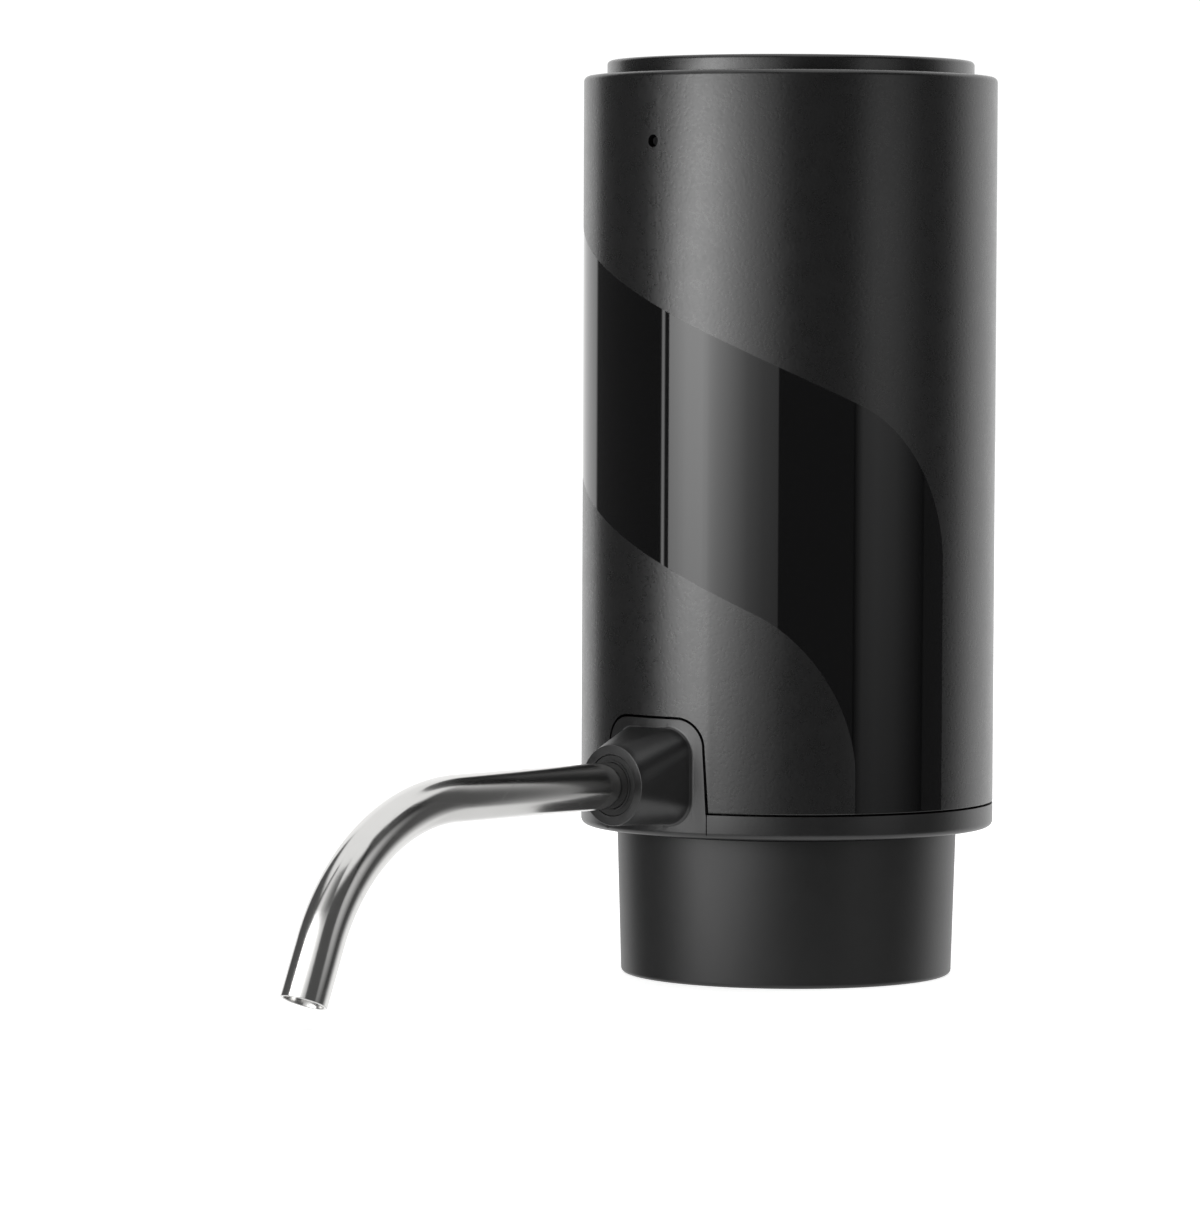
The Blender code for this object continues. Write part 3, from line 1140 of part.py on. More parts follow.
def make_diaphragm(pump):
    """One silicone sheet with three hollow cups, each drawn up or down by the tilted plate."""
    sheet = ring(
        "diaphragm", DIAPHRAGM_EYE, PUMP_RADIUS, DIAPHRAGM_BOTTOM, DIAPHRAGM_TOP, ROUND_SIDES,
        PALE_SILICONE, parent=pump,
    )
    plate_low = WOBBLE_RISE - WOBBLE_THICKNESS / 2
    plate_high = WOBBLE_RISE + WOBBLE_THICKNESS / 2
    hollows = []
    for i, angle in enumerate(CUP_ANGLES):
        x, y = on_circle(CUP_CIRCLE, angle)
        foot = Vector((x, y, DIAPHRAGM_BOTTOM + SINK))
        crown = tilted(x, y, plate_low - CUP_NECK)
        neck = tilted(x, y, plate_low)
        knob = tilted(x, y, plate_high + GAP)
        tip = knob + Vector((0, 0, CUP_KNOB_HEIGHT))
        rows = [
            (foot, CUP_ROOT),
            (crown, CUP_CROWN),
            (crown, CUP_STEM),
            (neck, CUP_STEM),
            (knob, CUP_STEM),
            (knob, CUP_KNOB),
            (tip, CUP_STEM),
        ]
        cup = lofted(
            f"cup_{i}", [level_loop(place, radius, SMALL_SIDES) for place, radius in rows], parent=pump,
        )
        inside = crown - Vector((0, 0, CUP_WALL))
        below = foot - Vector((0, 0, OVERRUN))
        hollow = lofted(
            f"cup_hollow_{i}",
            [
                level_loop(below, CUP_ROOT - CUP_WALL, SMALL_SIDES),
                level_loop(foot, CUP_ROOT - CUP_WALL, SMALL_SIDES),
                level_loop(inside, CUP_CROWN - CUP_WALL, SMALL_SIDES),
            ],
            parent=pump,
        )
        add(sheet, cup)
        hollows.append(hollow)
    cut(sheet, *hollows)
    for i, angle in enumerate(PUMP_SCREW_ANGLES):
        hole = rod(
            f"diaphragm_hole_{i}", PUMP_SCREW_RADIUS + GAP, DIAPHRAGM_BOTTOM - OVERRUN,
            DIAPHRAGM_TOP + OVERRUN,
            FINE_SIDES, parent=pump, location=(*on_circle(COLUMN_CIRCLE, angle), 0),
        )
        cut(sheet, hole)


def make_wobble(wobble):
    """The plate and its pin, in the tilted frame whose origin is the pivot."""
    low = WOBBLE_RISE - WOBBLE_THICKNESS / 2
    high = WOBBLE_RISE + WOBBLE_THICKNESS / 2
    plate = rod("wobble_plate", WOBBLE_HUB, low, high, SMALL_SIDES, INNER_PLASTIC, parent=wobble)
    eyes = []
    for i, angle in enumerate(CUP_ANGLES):
        arm = prism(
            f"arm_{i}",
            [
                (0, -WOBBLE_ARM_HALF),
                *arc((CUP_CIRCLE, 0), WOBBLE_ARM_END, -90, 90, EDGE_STEPS + 1),
                (0, WOBBLE_ARM_HALF),
            ],
            low + SINK / 2, high - SINK / 2, parent=wobble, rotation=(0, 0, angle),
        )
        eye = rod(
            f"arm_eye_{i}", CUP_STEM + WOBBLE_EYE_GAP, low - OVERRUN, high + OVERRUN, FINE_SIDES,
            parent=wobble, location=(*on_circle(CUP_CIRCLE, angle), 0),
        )
        add(plate, arm)
        eyes.append(eye)
    pin_hole = rod(
        "pin_hole", PIN_RADIUS + CLOSE_GAP, low - OVERRUN, high + OVERRUN, FINE_SIDES, parent=wobble,
    )
    cut(plate, *eyes, pin_hole)
    rod("wobble_pin", PIN_RADIUS, 0, WOBBLE_RISE + PIN_ABOVE, FINE_SIDES, STEEL, parent=wobble)


def make_eccentric(pump, wobble):
    eccentric = rod(
        "eccentric", ECCENTRIC_RADIUS, ECCENTRIC_BOTTOM, ECCENTRIC_TOP, SMALL_SIDES, BRASS, parent=pump,
    )
    shaft_hole = rod(
        "shaft_hole", SHAFT_RADIUS + CLOSE_GAP, SHAFT_BOTTOM - GAP, ECCENTRIC_TOP + OVERRUN, FINE_SIDES,
        parent=pump,
    )
    slanted_hole = rod(
        "slanted_hole", PIN_RADIUS + CLOSE_GAP, WOBBLE_RISE, WOBBLE_RISE + PIN_ABOVE + GAP, FINE_SIDES,
        parent=wobble,
    )
    cut(eccentric, shaft_hole, slanted_hole)


def make_motor_housing(pump):
    inner = MOTOR_RADIUS - MOTOR_WALL
    front_top = MOTOR_BOTTOM + MOTOR_FRONT
    boss_low = MOTOR_BOTTOM - MOTOR_BOSS
    bush_bore = BEARING_RADIUS + CLOSE_GAP
    shaft_room = SHAFT_RADIUS + GAP
    outline = [
        (shaft_room, boss_low),
        (MOTOR_BOSS_RADIUS, boss_low),
        (MOTOR_BOSS_RADIUS, MOTOR_BOTTOM),
        (MOTOR_RADIUS, MOTOR_BOTTOM),
        (MOTOR_RADIUS, MOTOR_TOP),
        (inner, MOTOR_TOP),
        (inner, front_top),
        (MOTOR_BOSS_RADIUS, front_top),
        (MOTOR_BOSS_RADIUS, FRONT_BEARING_BOTTOM + BEARING_LENGTH),
        (bush_bore, FRONT_BEARING_BOTTOM + BEARING_LENGTH),
        (bush_bore, FRONT_BEARING_BOTTOM - CLOSE_GAP),
        (shaft_room, FRONT_BEARING_BOTTOM - CLOSE_GAP),
    ]
    turned("motor_can", outline, ROUND_SIDES, STEEL, parent=pump)
    plug = inner - CLOSE_GAP
    outline = [
        (shaft_room, REAR_BEARING_BOTTOM - CLOSE_GAP - GAP),
        (MOTOR_BOSS_RADIUS, REAR_BEARING_BOTTOM - CLOSE_GAP - GAP),
        (MOTOR_BOSS_RADIUS, END_CAP_BOTTOM),
        (plug, END_CAP_BOTTOM),
        (plug, MOTOR_TOP + GAP),
        (MOTOR_RADIUS, MOTOR_TOP + GAP),
        (MOTOR_RADIUS, END_CAP_TOP),
        (bush_bore, END_CAP_TOP),
        (bush_bore, REAR_BEARING_BOTTOM - CLOSE_GAP),
        (shaft_room, REAR_BEARING_BOTTOM - CLOSE_GAP),
    ]
    end_cap = turned("motor_end_cap", outline, ROUND_SIDES, INNER_PLASTIC, parent=pump)
    for name, low in (("bearing_front", FRONT_BEARING_BOTTOM), ("bearing_rear", REAR_BEARING_BOTTOM)):
        ring(
            name, SHAFT_RADIUS + CLOSE_GAP, BEARING_RADIUS, low, low + BEARING_LENGTH, FINE_SIDES, BRASS,
            parent=pump,
        )
    outer, inward = inner - GAP, inner - GAP - MAGNET_THICKNESS
    half = math.degrees(MAGNET_SPREAD) / 2
    magnet = arc((0, 0), outer, -half, half, MAGNET_STEPS) + arc((0, 0), inward, half, -half, MAGNET_STEPS)
    low = front_top + MAGNET_RISE
    for i, turn in enumerate((math.radians(90), math.radians(-90))):
        prism(
            f"motor_magnet_{i + 1}", magnet, low, low + MAGNET_LENGTH, FERRITE, parent=pump,
            rotation=(0, 0, turn),
        )
    return end_cap


def make_brushes(end_cap, pump):
    """Two carbon blocks on the commutator, each with the blade that leads through the end cap."""
    inward = COMMUTATOR_RADIUS + CLOSE_GAP
    brush_low = COMMUTATOR_BOTTOM + (COMMUTATOR_LENGTH - BRUSH_HEIGHT) / 2
    blade = inward + BRUSH_LENGTH + GAP
    for i, turn in enumerate((0, math.radians(180))):
        place = {"parent": pump, "rotation": (0, 0, turn)}
        block(
            f"motor_brush_{i + 1}", (inward, -BRUSH_HALF, brush_low),
            (inward + BRUSH_LENGTH, BRUSH_HALF, brush_low + BRUSH_HEIGHT), CARBON, **place,
        )
        block(
            f"motor_terminal_{i + 1}", (blade, -TERMINAL_HALF_WIDTH, brush_low),
            (blade + TERMINAL_THICKNESS, TERMINAL_HALF_WIDTH, TERMINAL_TOP), BRASS, **place,
        )
        slit = block(
            f"terminal_slit_{i}", (blade - GAP, -TERMINAL_HALF_WIDTH - GAP, END_CAP_BOTTOM - OVERRUN),
            (blade + TERMINAL_THICKNESS + GAP, TERMINAL_HALF_WIDTH + GAP, END_CAP_TOP + OVERRUN), **place,
        )
        cut(end_cap, slit)
    return blade + TERMINAL_THICKNESS / 2


def pole_outline(radius, half_width, tip_inner):
    """A three-pole core seen from above: hub, necks and curved pole tips."""
    points = []
    spread = math.degrees(POLE_SPREAD) / 2
    neck_angle = math.degrees(math.asin(half_width / tip_inner))
    hub_angle = math.degrees(math.asin(half_width / CORE_HUB))
    for middle in (0, 120, 240):
        points += arc((0, 0), CORE_HUB, middle - hub_angle, middle - hub_angle, 1)[:1]
        points += arc((0, 0), tip_inner, middle - neck_angle, middle - spread, 2)
        points += arc((0, 0), radius, middle - spread, middle + spread, POLE_TIP_STEPS)
        points += arc((0, 0), tip_inner, middle + spread, middle + neck_angle, 2)
        points += arc((0, 0), CORE_HUB, middle + hub_angle, middle + hub_angle, 1)[:1]
    return points


def make_rotor(pump):
    tip_inner = ROTOR_RADIUS - POLE_TIP_DEPTH
    shaft_hole = SHAFT_RADIUS + CLOSE_GAP
    rod("motor_shaft", SHAFT_RADIUS, SHAFT_BOTTOM, SHAFT_TOP, FINE_SIDES, STEEL, parent=pump)
    core = prism(
        "rotor_core", pole_outline(ROTOR_RADIUS, POLE_HALF_WIDTH, tip_inner), CORE_BOTTOM, CORE_TOP,
        STEEL, parent=pump,
    )
    bore = rod("core_bore", shaft_hole, CORE_BOTTOM - OVERRUN, CORE_TOP + OVERRUN, FINE_SIDES, parent=pump)
    cut(core, bore)
    low, high = CORE_BOTTOM - WINDING_DEPTH, CORE_TOP + WINDING_DEPTH
    coil_half = POLE_HALF_WIDTH + WINDING_DEPTH
    near, far = CORE_HUB + GAP, math.sqrt((tip_inner - GAP) ** 2 - coil_half**2)
    winding = ring(
        "rotor_winding", shaft_hole + GAP, near + GAP, high - WINDING_RING_DEPTH, high + SINK,
        SMALL_SIDES, COPPER,
        parent=pump,
    )
    for i, angle in enumerate((0, 120, 240)):
        place = {"parent": pump, "rotation": (0, 0, math.radians(angle))}
        coil = block(f"coil_{i}", (near, -coil_half, low), (far, coil_half, high), **place)
        neck = block(
            f"coil_neck_{i}", (near - OVERRUN, -POLE_HALF_WIDTH - GAP, CORE_BOTTOM - GAP),
            (far + OVERRUN, POLE_HALF_WIDTH + GAP, CORE_TOP + GAP), **place,
        )
        cut(coil, neck)
        add(winding, coil)
    ring(
        "commutator", shaft_hole, COMMUTATOR_RADIUS, COMMUTATOR_BOTTOM, COMMUTATOR_TOP, SMALL_SIDES, BRASS,
        parent=pump,
    )


def make_battery():
    outline = [(0, BATTERY_BOTTOM), (BATTERY_RADIUS - BATTERY_EDGE, BATTERY_BOTTOM)]
    outline += [
        (BATTERY_RADIUS, BATTERY_BOTTOM + BATTERY_EDGE),
        (BATTERY_RADIUS, BATTERY_TOP - BATTERY_CROWN_HEIGHT - BATTERY_EDGE),
        (BATTERY_RADIUS - BATTERY_EDGE, BATTERY_TOP - BATTERY_CROWN_HEIGHT),
        (BATTERY_CROWN, BATTERY_TOP - BATTERY_CROWN_HEIGHT),
        (BATTERY_CROWN, BATTERY_TOP),
        (0, BATTERY_TOP),
    ]
    turned("battery_cell", outline, ROUND_SIDES, BATTERY_WRAP, location=(0, BATTERY_Y, 0))


def make_chassis():
    """Floor, wall, motor shelf, top deck, battery clips, feet, posts and board pegs in one moulding."""
    chassis = rod("chassis", INNER_RADIUS, FLOOR_BOTTOM, FLOOR_TOP, ROUND_SIDES, INNER_PLASTIC)
    wall = block(
        "chassis_wall", (-WALL_HALF_WIDTH, WALL_FRONT, FLOOR_BOTTOM + SINK),
        (WALL_HALF_WIDTH, WALL_BACK, TOP_DECK_TOP - SINK),
    )
    top_deck = rod("top_deck", INNER_RADIUS, TOP_DECK_BOTTOM, TOP_DECK_TOP, ROUND_SIDES)
    shelf = rod("motor_shelf", INNER_RADIUS, MOTOR_BOTTOM, MOTOR_BOTTOM + SHELF_THICKNESS, ROUND_SIDES)
    shelf_limit = block(
        "shelf_limit", (-BORE, WALL_BACK - SINK, MOTOR_BOTTOM - OVERRUN),
        (BORE, BORE, MOTOR_BOTTOM + SHELF_THICKNESS + OVERRUN),
    )
    cut(shelf, shelf_limit)
    add(chassis, wall, top_deck, shelf)
    for i, share in enumerate(CLIP_SHARES):
        middle = BATTERY_BOTTOM + share * BATTERY_LENGTH
        low, high = middle - CLIP_HEIGHT / 2, middle + CLIP_HEIGHT / 2
        bore = BATTERY_RADIUS + GAP
        clip = ring(f"clip_{i}", bore, bore + CLIP_WALL, low, high, ROUND_SIDES, location=(0, BATTERY_Y, 0))
        mouth = block(
            f"clip_mouth_{i}", (-BORE, BATTERY_Y + CLIP_OPENING, low - OVERRUN),
            (BORE, BARREL_RADIUS, high + OVERRUN),
        )
        cut(clip, mouth)
        add(chassis, clip)
    for i, angle in enumerate(COLLAR_SCREW_ANGLES):
        place = {"location": (*on_circle(COLLAR_SCREW_CIRCLE, angle), 0)}
        foot = rod(f"foot_{i}", FOOT_RADIUS, DECK_TOP + GAP, FLOOR_BOTTOM + SINK, SMALL_SIDES, **place)
        hole = rod(
            f"foot_hole_{i}", SCREW_RADIUS + GAP, DECK_TOP - OVERRUN, SCREW_HEAD_TOP + SCREW_LENGTH + GAP,
            FINE_SIDES, **place,
        )
        add(chassis, foot)
        cut(chassis, hole)
    clamp_x = (MANIFOLD_RADIUS + MANIFOLD_FOOT_RADIUS) / 2
    for i, side in enumerate((-1, 1)):
        clamp = rod(
            f"clamp_{i}", CLAMP_RADIUS, MANIFOLD_BOTTOM + MANIFOLD_FOOT + GAP, FLOOR_BOTTOM + SINK,
            FINE_SIDES,
            location=(side * clamp_x, 0, 0),
        )
        add(chassis, clamp)
    for i, angle in enumerate(CUP_ANGLES):
        post = rod(
            f"post_{i}", POST_RADIUS, FLOOR_TOP - SINK, POST_TOP, FINE_SIDES,
            location=(*on_circle(POST_CIRCLE, angle, PUMP_Y), 0),
        )
        add(chassis, post)
    for i, angle in enumerate(PEG_ANGLES):
        outline = [
            (0, TOP_DECK_TOP - SINK),
            (PEG_RADIUS, TOP_DECK_TOP - SINK),
            (PEG_RADIUS, PEG_SHOULDER),
            (PEG_PIN, PEG_SHOULDER),
            (PEG_PIN, BOARD_TOP + PEG_TIP),
            (0, BOARD_TOP + PEG_TIP),
        ]
        peg = turned(f"peg_{i}", outline, FINE_SIDES, location=(*on_circle(PEG_CIRCLE, angle), 0))
        add(chassis, peg)
    cap_way = rod(
        "cap_way", TOWER_RADIUS + 2 * GAP, FLOOR_BOTTOM - OVERRUN, FLOOR_TOP + OVERRUN, SMALL_SIDES,
        location=(0, AIR_OFFSET, 0),
    )
    wall_way = block(
        "hose_way", (-TOWER_RADIUS - 2 * GAP, WALL_FRONT - OVERRUN, FLOOR_BOTTOM - OVERRUN),
        (TOWER_RADIUS + 2 * GAP, WALL_BACK + OVERRUN, POST_TOP),
    )
    motor_way = rod(
        "motor_way", MOTOR_RADIUS + GAP, MOTOR_BOTTOM - OVERRUN, MOTOR_BOTTOM + SHELF_THICKNESS + OVERRUN,
        ROUND_SIDES, location=(0, PUMP_Y, 0),
    )
    lead_way = rod(
        "lead_way", LEAD_HOLE, TOP_DECK_BOTTOM - OVERRUN, TOP_DECK_TOP + OVERRUN, ROUND_SIDES,
        location=(0, PUMP_Y, 0),
    )
    cut(chassis, cap_way, wall_way, motor_way, lead_way)
    for i, side in enumerate((-1, 1)):
        notch = rod(
            f"battery_lead_way_{i}", LEAD_NOTCH, TOP_DECK_BOTTOM - OVERRUN, TOP_DECK_TOP + OVERRUN,
            FINE_SIDES,
            location=(side * (USB_HALF_WIDTH + 2 * LEAD_NOTCH), BATTERY_Y, 0),
        )
        cut(chassis, notch)


def make_board():
    board = rod("main_pcb", BOARD_RADIUS, BOARD_BOTTOM, BOARD_TOP, ROUND_SIDES, LAMINATE)
    for i, angle in enumerate(PEG_ANGLES):
        hole = rod(
            f"peg_hole_{i}", PEG_PIN + GAP, BOARD_BOTTOM - OVERRUN, BOARD_TOP + OVERRUN, FINE_SIDES,
            location=(*on_circle(PEG_CIRCLE, angle), 0),
        )
        cut(board, hole)


def make_usb():
    """The charging socket's steel shell and the plastic tongue inside it, facing the back."""
    place = {"location": (0, 0, USB_Z), "rotation": FACING_FRONT}
    half_height = USB_HEIGHT / 2
    outer = rounded_rectangle(USB_HALF_WIDTH, half_height, half_height, USB_CORNER_STEPS)
    inner_x, inner_y = USB_HALF_WIDTH - USB_WALL, half_height - USB_WALL
    inner = rounded_rectangle(inner_x, inner_y, inner_y, USB_CORNER_STEPS)
    back = -USB_MOUTH + USB_DEPTH
    socket = prism("usb_socket", outer, -USB_MOUTH, back, STEEL, **place)
    hollow = prism("usb_hollow", inner, -USB_MOUTH - OVERRUN, back + OVERRUN, **place)
    cut(socket, hollow)
    plug = rounded_rectangle(inner_x - CLOSE_GAP, inner_y - CLOSE_GAP, inner_y - CLOSE_GAP, USB_CORNER_STEPS)
    holder = prism("usb_tongue", plug, back - USB_BACK, back - GAP, CARBON, **place)
    reach = (USB_DEPTH - USB_BACK) * USB_TONGUE_SHARE
    tongue = block(
        "tongue_blade", (-USB_TONGUE_HALF, -USB_TONGUE / 2, back - USB_BACK - reach),
        (USB_TONGUE_HALF, USB_TONGUE / 2, back - USB_BACK + SINK), **place,
    )
    add(holder, tongue)


def make_switch(press):
    half = SWITCH_HALF
    outline = rounded_rectangle(half, half, SWITCH_EDGE, 1)
    body = prism("switch_body", outline, SWITCH_BOTTOM, SWITCH_TOP, CARBON)
    plunger_low = PLUNGER_TOP - PLUNGER_LENGTH
    well = rod(
        "plunger_well", PLUNGER_RADIUS + GAP, plunger_low - SWITCH_TRAVEL - GAP, SWITCH_TOP + OVERRUN,
        SMALL_SIDES,
    )
    cut(body, well)
    rod("switch_plunger", PLUNGER_RADIUS, plunger_low, PLUNGER_TOP, SMALL_SIDES, INNER_PLASTIC, parent=press)


def make_led():
    front = -(BORE - GAP - LIGHT_FLANGE_DEPTH) + GAP
    block(
        "status_led", (-LED_HALF_WIDTH, front, BOARD_TOP + GAP),
        (LED_HALF_WIDTH, front + LED_DEPTH, BOARD_TOP + GAP + LED_HEIGHT), PALE_SILICONE,
    )


def make_button(press):
    radius = BORE - GAP
    inner = radius - BUTTON_WALL
    outline = [
        (0, BUTTON_UNDERSIDE - STEM_LENGTH),
        (STEM_RADIUS, BUTTON_UNDERSIDE - STEM_LENGTH),
        (STEM_RADIUS, BUTTON_UNDERSIDE),
        (inner, BUTTON_UNDERSIDE),
        (inner, SKIRT_BOTTOM),
        (radius, SKIRT_BOTTOM),
    ]
    outline += arc((radius - BUTTON_EDGE, BUTTON_CROWN - BUTTON_EDGE), BUTTON_EDGE, 0, 90, EDGE_STEPS)
    outline.append((0, BUTTON_CROWN))
    button = turned("top_button", outline, BARREL_SIDES, BLACK_PLASTIC, parent=press)
    barb_top = LEDGE_BOTTOM - GAP
    leg = LEDGE_BORE - GAP
    for i, angle in enumerate(HOOK_ANGLES):
        profile = [
            (leg - HOOK_THICKNESS, BUTTON_UNDERSIDE + SINK),
            (leg - HOOK_THICKNESS, barb_top - HOOK_BARB_HEIGHT),
            (leg, barb_top - HOOK_BARB_HEIGHT),
            (leg + HOOK_BARB, barb_top),
            (leg, barb_top),
            (leg, BUTTON_UNDERSIDE + SINK),
        ]
        # The profile stands in X and Z, so its prism is turned upright about X first
        upright = Matrix.Rotation(angle, 4, "Z") @ Matrix.Rotation(math.radians(90), 4, "X")
        hook = prism(
            f"hook_{i}", profile, -HOOK_HALF_WIDTH, HOOK_HALF_WIDTH, parent=press,
            rotation=upright.to_euler(),
        )
        add(button, hook)


def make_button_spring():
    low = BOARD_TOP + GAP + SPRING_WIRE
    high = BUTTON_UNDERSIDE - GAP - SPRING_WIRE
    path = []
    for i in range(SPRING_TURNS * SPRING_STEPS + 1):
        share = i / (SPRING_TURNS * SPRING_STEPS)
        turn = math.tau * SPRING_TURNS * share
        x, y = on_circle(SPRING_RADIUS, turn)
        path.append(Vector((x, y, low + (high - low) * share)))
    swept("button_spring", path, SPRING_WIRE, 0, SPRING_SIDES, STEEL)


def make_leads(terminal_reach):
    """Two leads from the motor and two from the battery, up to the board's underside."""
    board = BOARD_BOTTOM - GAP
    bow = 2 * LEAD_RADIUS
    for i, (side, colour) in enumerate(((1, RED_WIRE), (-1, BLACK_WIRE))):
        x = side * terminal_reach
        top_x = side * (terminal_reach - bow)
        knots = [
            Vector((x, PUMP_Y, TERMINAL_TOP + GAP)),
            Vector((x, PUMP_Y, (TERMINAL_TOP + TOP_DECK_BOTTOM) / 2)),
            Vector((x, PUMP_Y + bow, TOP_DECK_TOP)),
            Vector((top_x, PUMP_Y + bow, (TOP_DECK_TOP + board) / 2)),
            Vector((top_x, PUMP_Y, board - bow)),
            Vector((top_x, PUMP_Y, board)),
        ]
        swept(f"motor_lead_{i + 1}", smooth_route(knots, LEAD_STEPS), LEAD_RADIUS, 0, LEAD_SIDES, colour)
    notch_x = USB_HALF_WIDTH + 2 * LEAD_NOTCH
    top = BATTERY_TOP + GAP + LEAD_RADIUS
    # The first lead starts on the battery's crown, the second on its shoulder
    shoulder_x = -(BATTERY_CROWN + BATTERY_RADIUS) / 2
    starts = (Vector((0, BATTERY_Y, top)), Vector((shoulder_x, BATTERY_Y, top - BATTERY_CROWN_HEIGHT)))
    for i, (start, side, colour) in enumerate(zip(starts, (1, -1), (RED_WIRE, BLACK_WIRE))):
        x = side * notch_x
        knots = [
            start,
            start + Vector((side * bow, 0, 0)),
            Vector((side * notch_x, BATTERY_Y, TOP_DECK_BOTTOM - bow)),
            Vector((x, BATTERY_Y, (TOP_DECK_BOTTOM + TOP_DECK_TOP) / 2)),
            Vector((x, BATTERY_Y, (TOP_DECK_TOP + board) / 2)),
            Vector((x, BATTERY_Y - bow, board - bow)),
            Vector((x, BATTERY_Y - bow, board)),
        ]
        swept(f"battery_lead_{i + 1}", smooth_route(knots, LEAD_STEPS), LEAD_RADIUS, 0, LEAD_SIDES, colour)


def main():
    clear_scene()
    front = axis_empty("front", (0, 0, SPOUT_Z), FACING_FRONT)
    spout_axis = axis_empty("spout_axis", (0, 0, SPOUT_Z), FACING_FRONT)
    press = axis_empty("press_axis", (0, 0, 0))
    pump = axis_empty("pump_axis", (0, PUMP_Y, 0))
    wobble = axis_empty("wobble_axis", (0, PUMP_Y, PIVOT_Z), (TILT, 0, 0))

    make_collar()
    make_collar_screws()
    make_stopper()
    make_nipples()
    make_base(front)
    make_gasket(front)
    make_shell(front)
    make_light_guide()
    make_seal(spout_axis)
    make_spout(spout_axis)
    make_manifold()
    make_check_valve()
    make_air_hose()
    make_pump_stator(pump)
    make_pump_screws(pump)
    make_diaphragm(pump)
    make_wobble(wobble)
    make_eccentric(pump, wobble)
    end_cap = make_motor_housing(pump)
    terminal_reach = make_brushes(end_cap, pump)
    make_rotor(pump)
    make_battery()
    make_chassis()
    make_board()
    make_usb()
    make_switch(press)
    make_led()
    make_button(press)
    make_button_spring()
    make_leads(terminal_reach)


main()
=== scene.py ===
"""Looks of an electric wine aerator: finer skins for what shows, finishes for all pieces, and a studio.

Sizes are in metres in the model's frame: +Z up, the spout along -Y, the origin in the collar's mouth.
"""

import json
import math

import bmesh
import bpy
from mathutils import Matrix, Vector

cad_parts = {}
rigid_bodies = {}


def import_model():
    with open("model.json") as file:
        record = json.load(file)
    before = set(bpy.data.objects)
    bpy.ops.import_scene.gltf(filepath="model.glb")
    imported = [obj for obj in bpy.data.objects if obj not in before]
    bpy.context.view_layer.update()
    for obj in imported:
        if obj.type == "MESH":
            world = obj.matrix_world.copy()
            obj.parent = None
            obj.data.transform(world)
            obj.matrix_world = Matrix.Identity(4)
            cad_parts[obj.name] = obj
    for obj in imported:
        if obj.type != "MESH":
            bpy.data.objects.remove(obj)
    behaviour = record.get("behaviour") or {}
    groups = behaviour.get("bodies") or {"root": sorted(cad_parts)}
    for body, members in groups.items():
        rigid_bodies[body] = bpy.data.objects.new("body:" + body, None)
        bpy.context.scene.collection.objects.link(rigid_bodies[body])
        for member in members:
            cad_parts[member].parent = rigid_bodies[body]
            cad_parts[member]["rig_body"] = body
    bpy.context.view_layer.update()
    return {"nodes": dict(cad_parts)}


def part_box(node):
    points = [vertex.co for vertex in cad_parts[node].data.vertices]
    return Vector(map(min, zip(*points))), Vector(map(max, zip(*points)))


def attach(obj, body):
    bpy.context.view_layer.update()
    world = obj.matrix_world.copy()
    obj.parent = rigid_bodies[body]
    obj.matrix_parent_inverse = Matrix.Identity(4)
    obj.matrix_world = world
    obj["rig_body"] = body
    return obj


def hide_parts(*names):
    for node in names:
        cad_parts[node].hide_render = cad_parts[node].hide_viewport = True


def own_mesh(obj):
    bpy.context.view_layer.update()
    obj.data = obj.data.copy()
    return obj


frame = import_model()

MM = 0.001

# Fineness
BARREL_SIDES = 240
TUBE_SIDES = 96
SMALL_SIDES = 32
CORNER_STEPS = 6
SMOOTH_ANGLE = math.radians(32)
MERGE = 0.0005 * MM
SMALL_HOLE = 6  # the most sides of a hole that is closed
OVERRUN = 1.0 * MM  # how far a cut runs past a face
GAP = 0.3 * MM  # between pieces that seat on each other
EDGE = 0.15 * MM  # rounding of a moulded edge that has no rounding of its own

# What the frame says
SHELL_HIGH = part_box("shell")[1]
BASE_LOW, BASE_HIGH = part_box("base")
COLLAR_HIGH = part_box("neck_collar")[1]
BUTTON_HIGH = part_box("top_button")[1]
SEAL_LOW, SEAL_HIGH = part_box("spout_seal")
TUBE_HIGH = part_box("spout_tube")[1]
STOPPER_LOW, STOPPER_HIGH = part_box("bottle_stopper")
INLET_LOW, INLET_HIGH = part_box("wine_nipple")
AIR_LOW, AIR_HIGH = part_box("air_nipple")
GUIDE_LOW, GUIDE_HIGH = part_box("light_guide")
SOCKET_LOW, SOCKET_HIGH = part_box("usb_socket")
SPRING_LOW, SPRING_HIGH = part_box("button_spring")
CORE_LOW, CORE_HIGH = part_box("rotor_core")
GUIDE_Z = (GUIDE_LOW.z + GUIDE_HIGH.z) / 2
INLET_Y = (INLET_LOW.y + INLET_HIGH.y) / 2
AIR_Y = (AIR_LOW.y + AIR_HIGH.y) / 2

# Barrel
BARREL_RADIUS = BASE_HIGH.x
SHELL_WALL = 2.4 * MM
BORE = BARREL_RADIUS - SHELL_WALL
RIM_EDGE = 0.6 * MM
LEDGE_TOP = 100.4 * MM
LEDGE_BORE = 19.9 * MM
LEDGE_THICKNESS = 1.2 * MM
SEAM = 0.2 * MM
GASKET_BORE = 22.8 * MM
GASKET_TOP = 21.65 * MM
LIGHT_HOLE = 0.71 * MM
HOLE_SKIN = 0.01 * MM  # depth around the light's hole that is still its wall
SLOT_GAP = 0.3 * MM

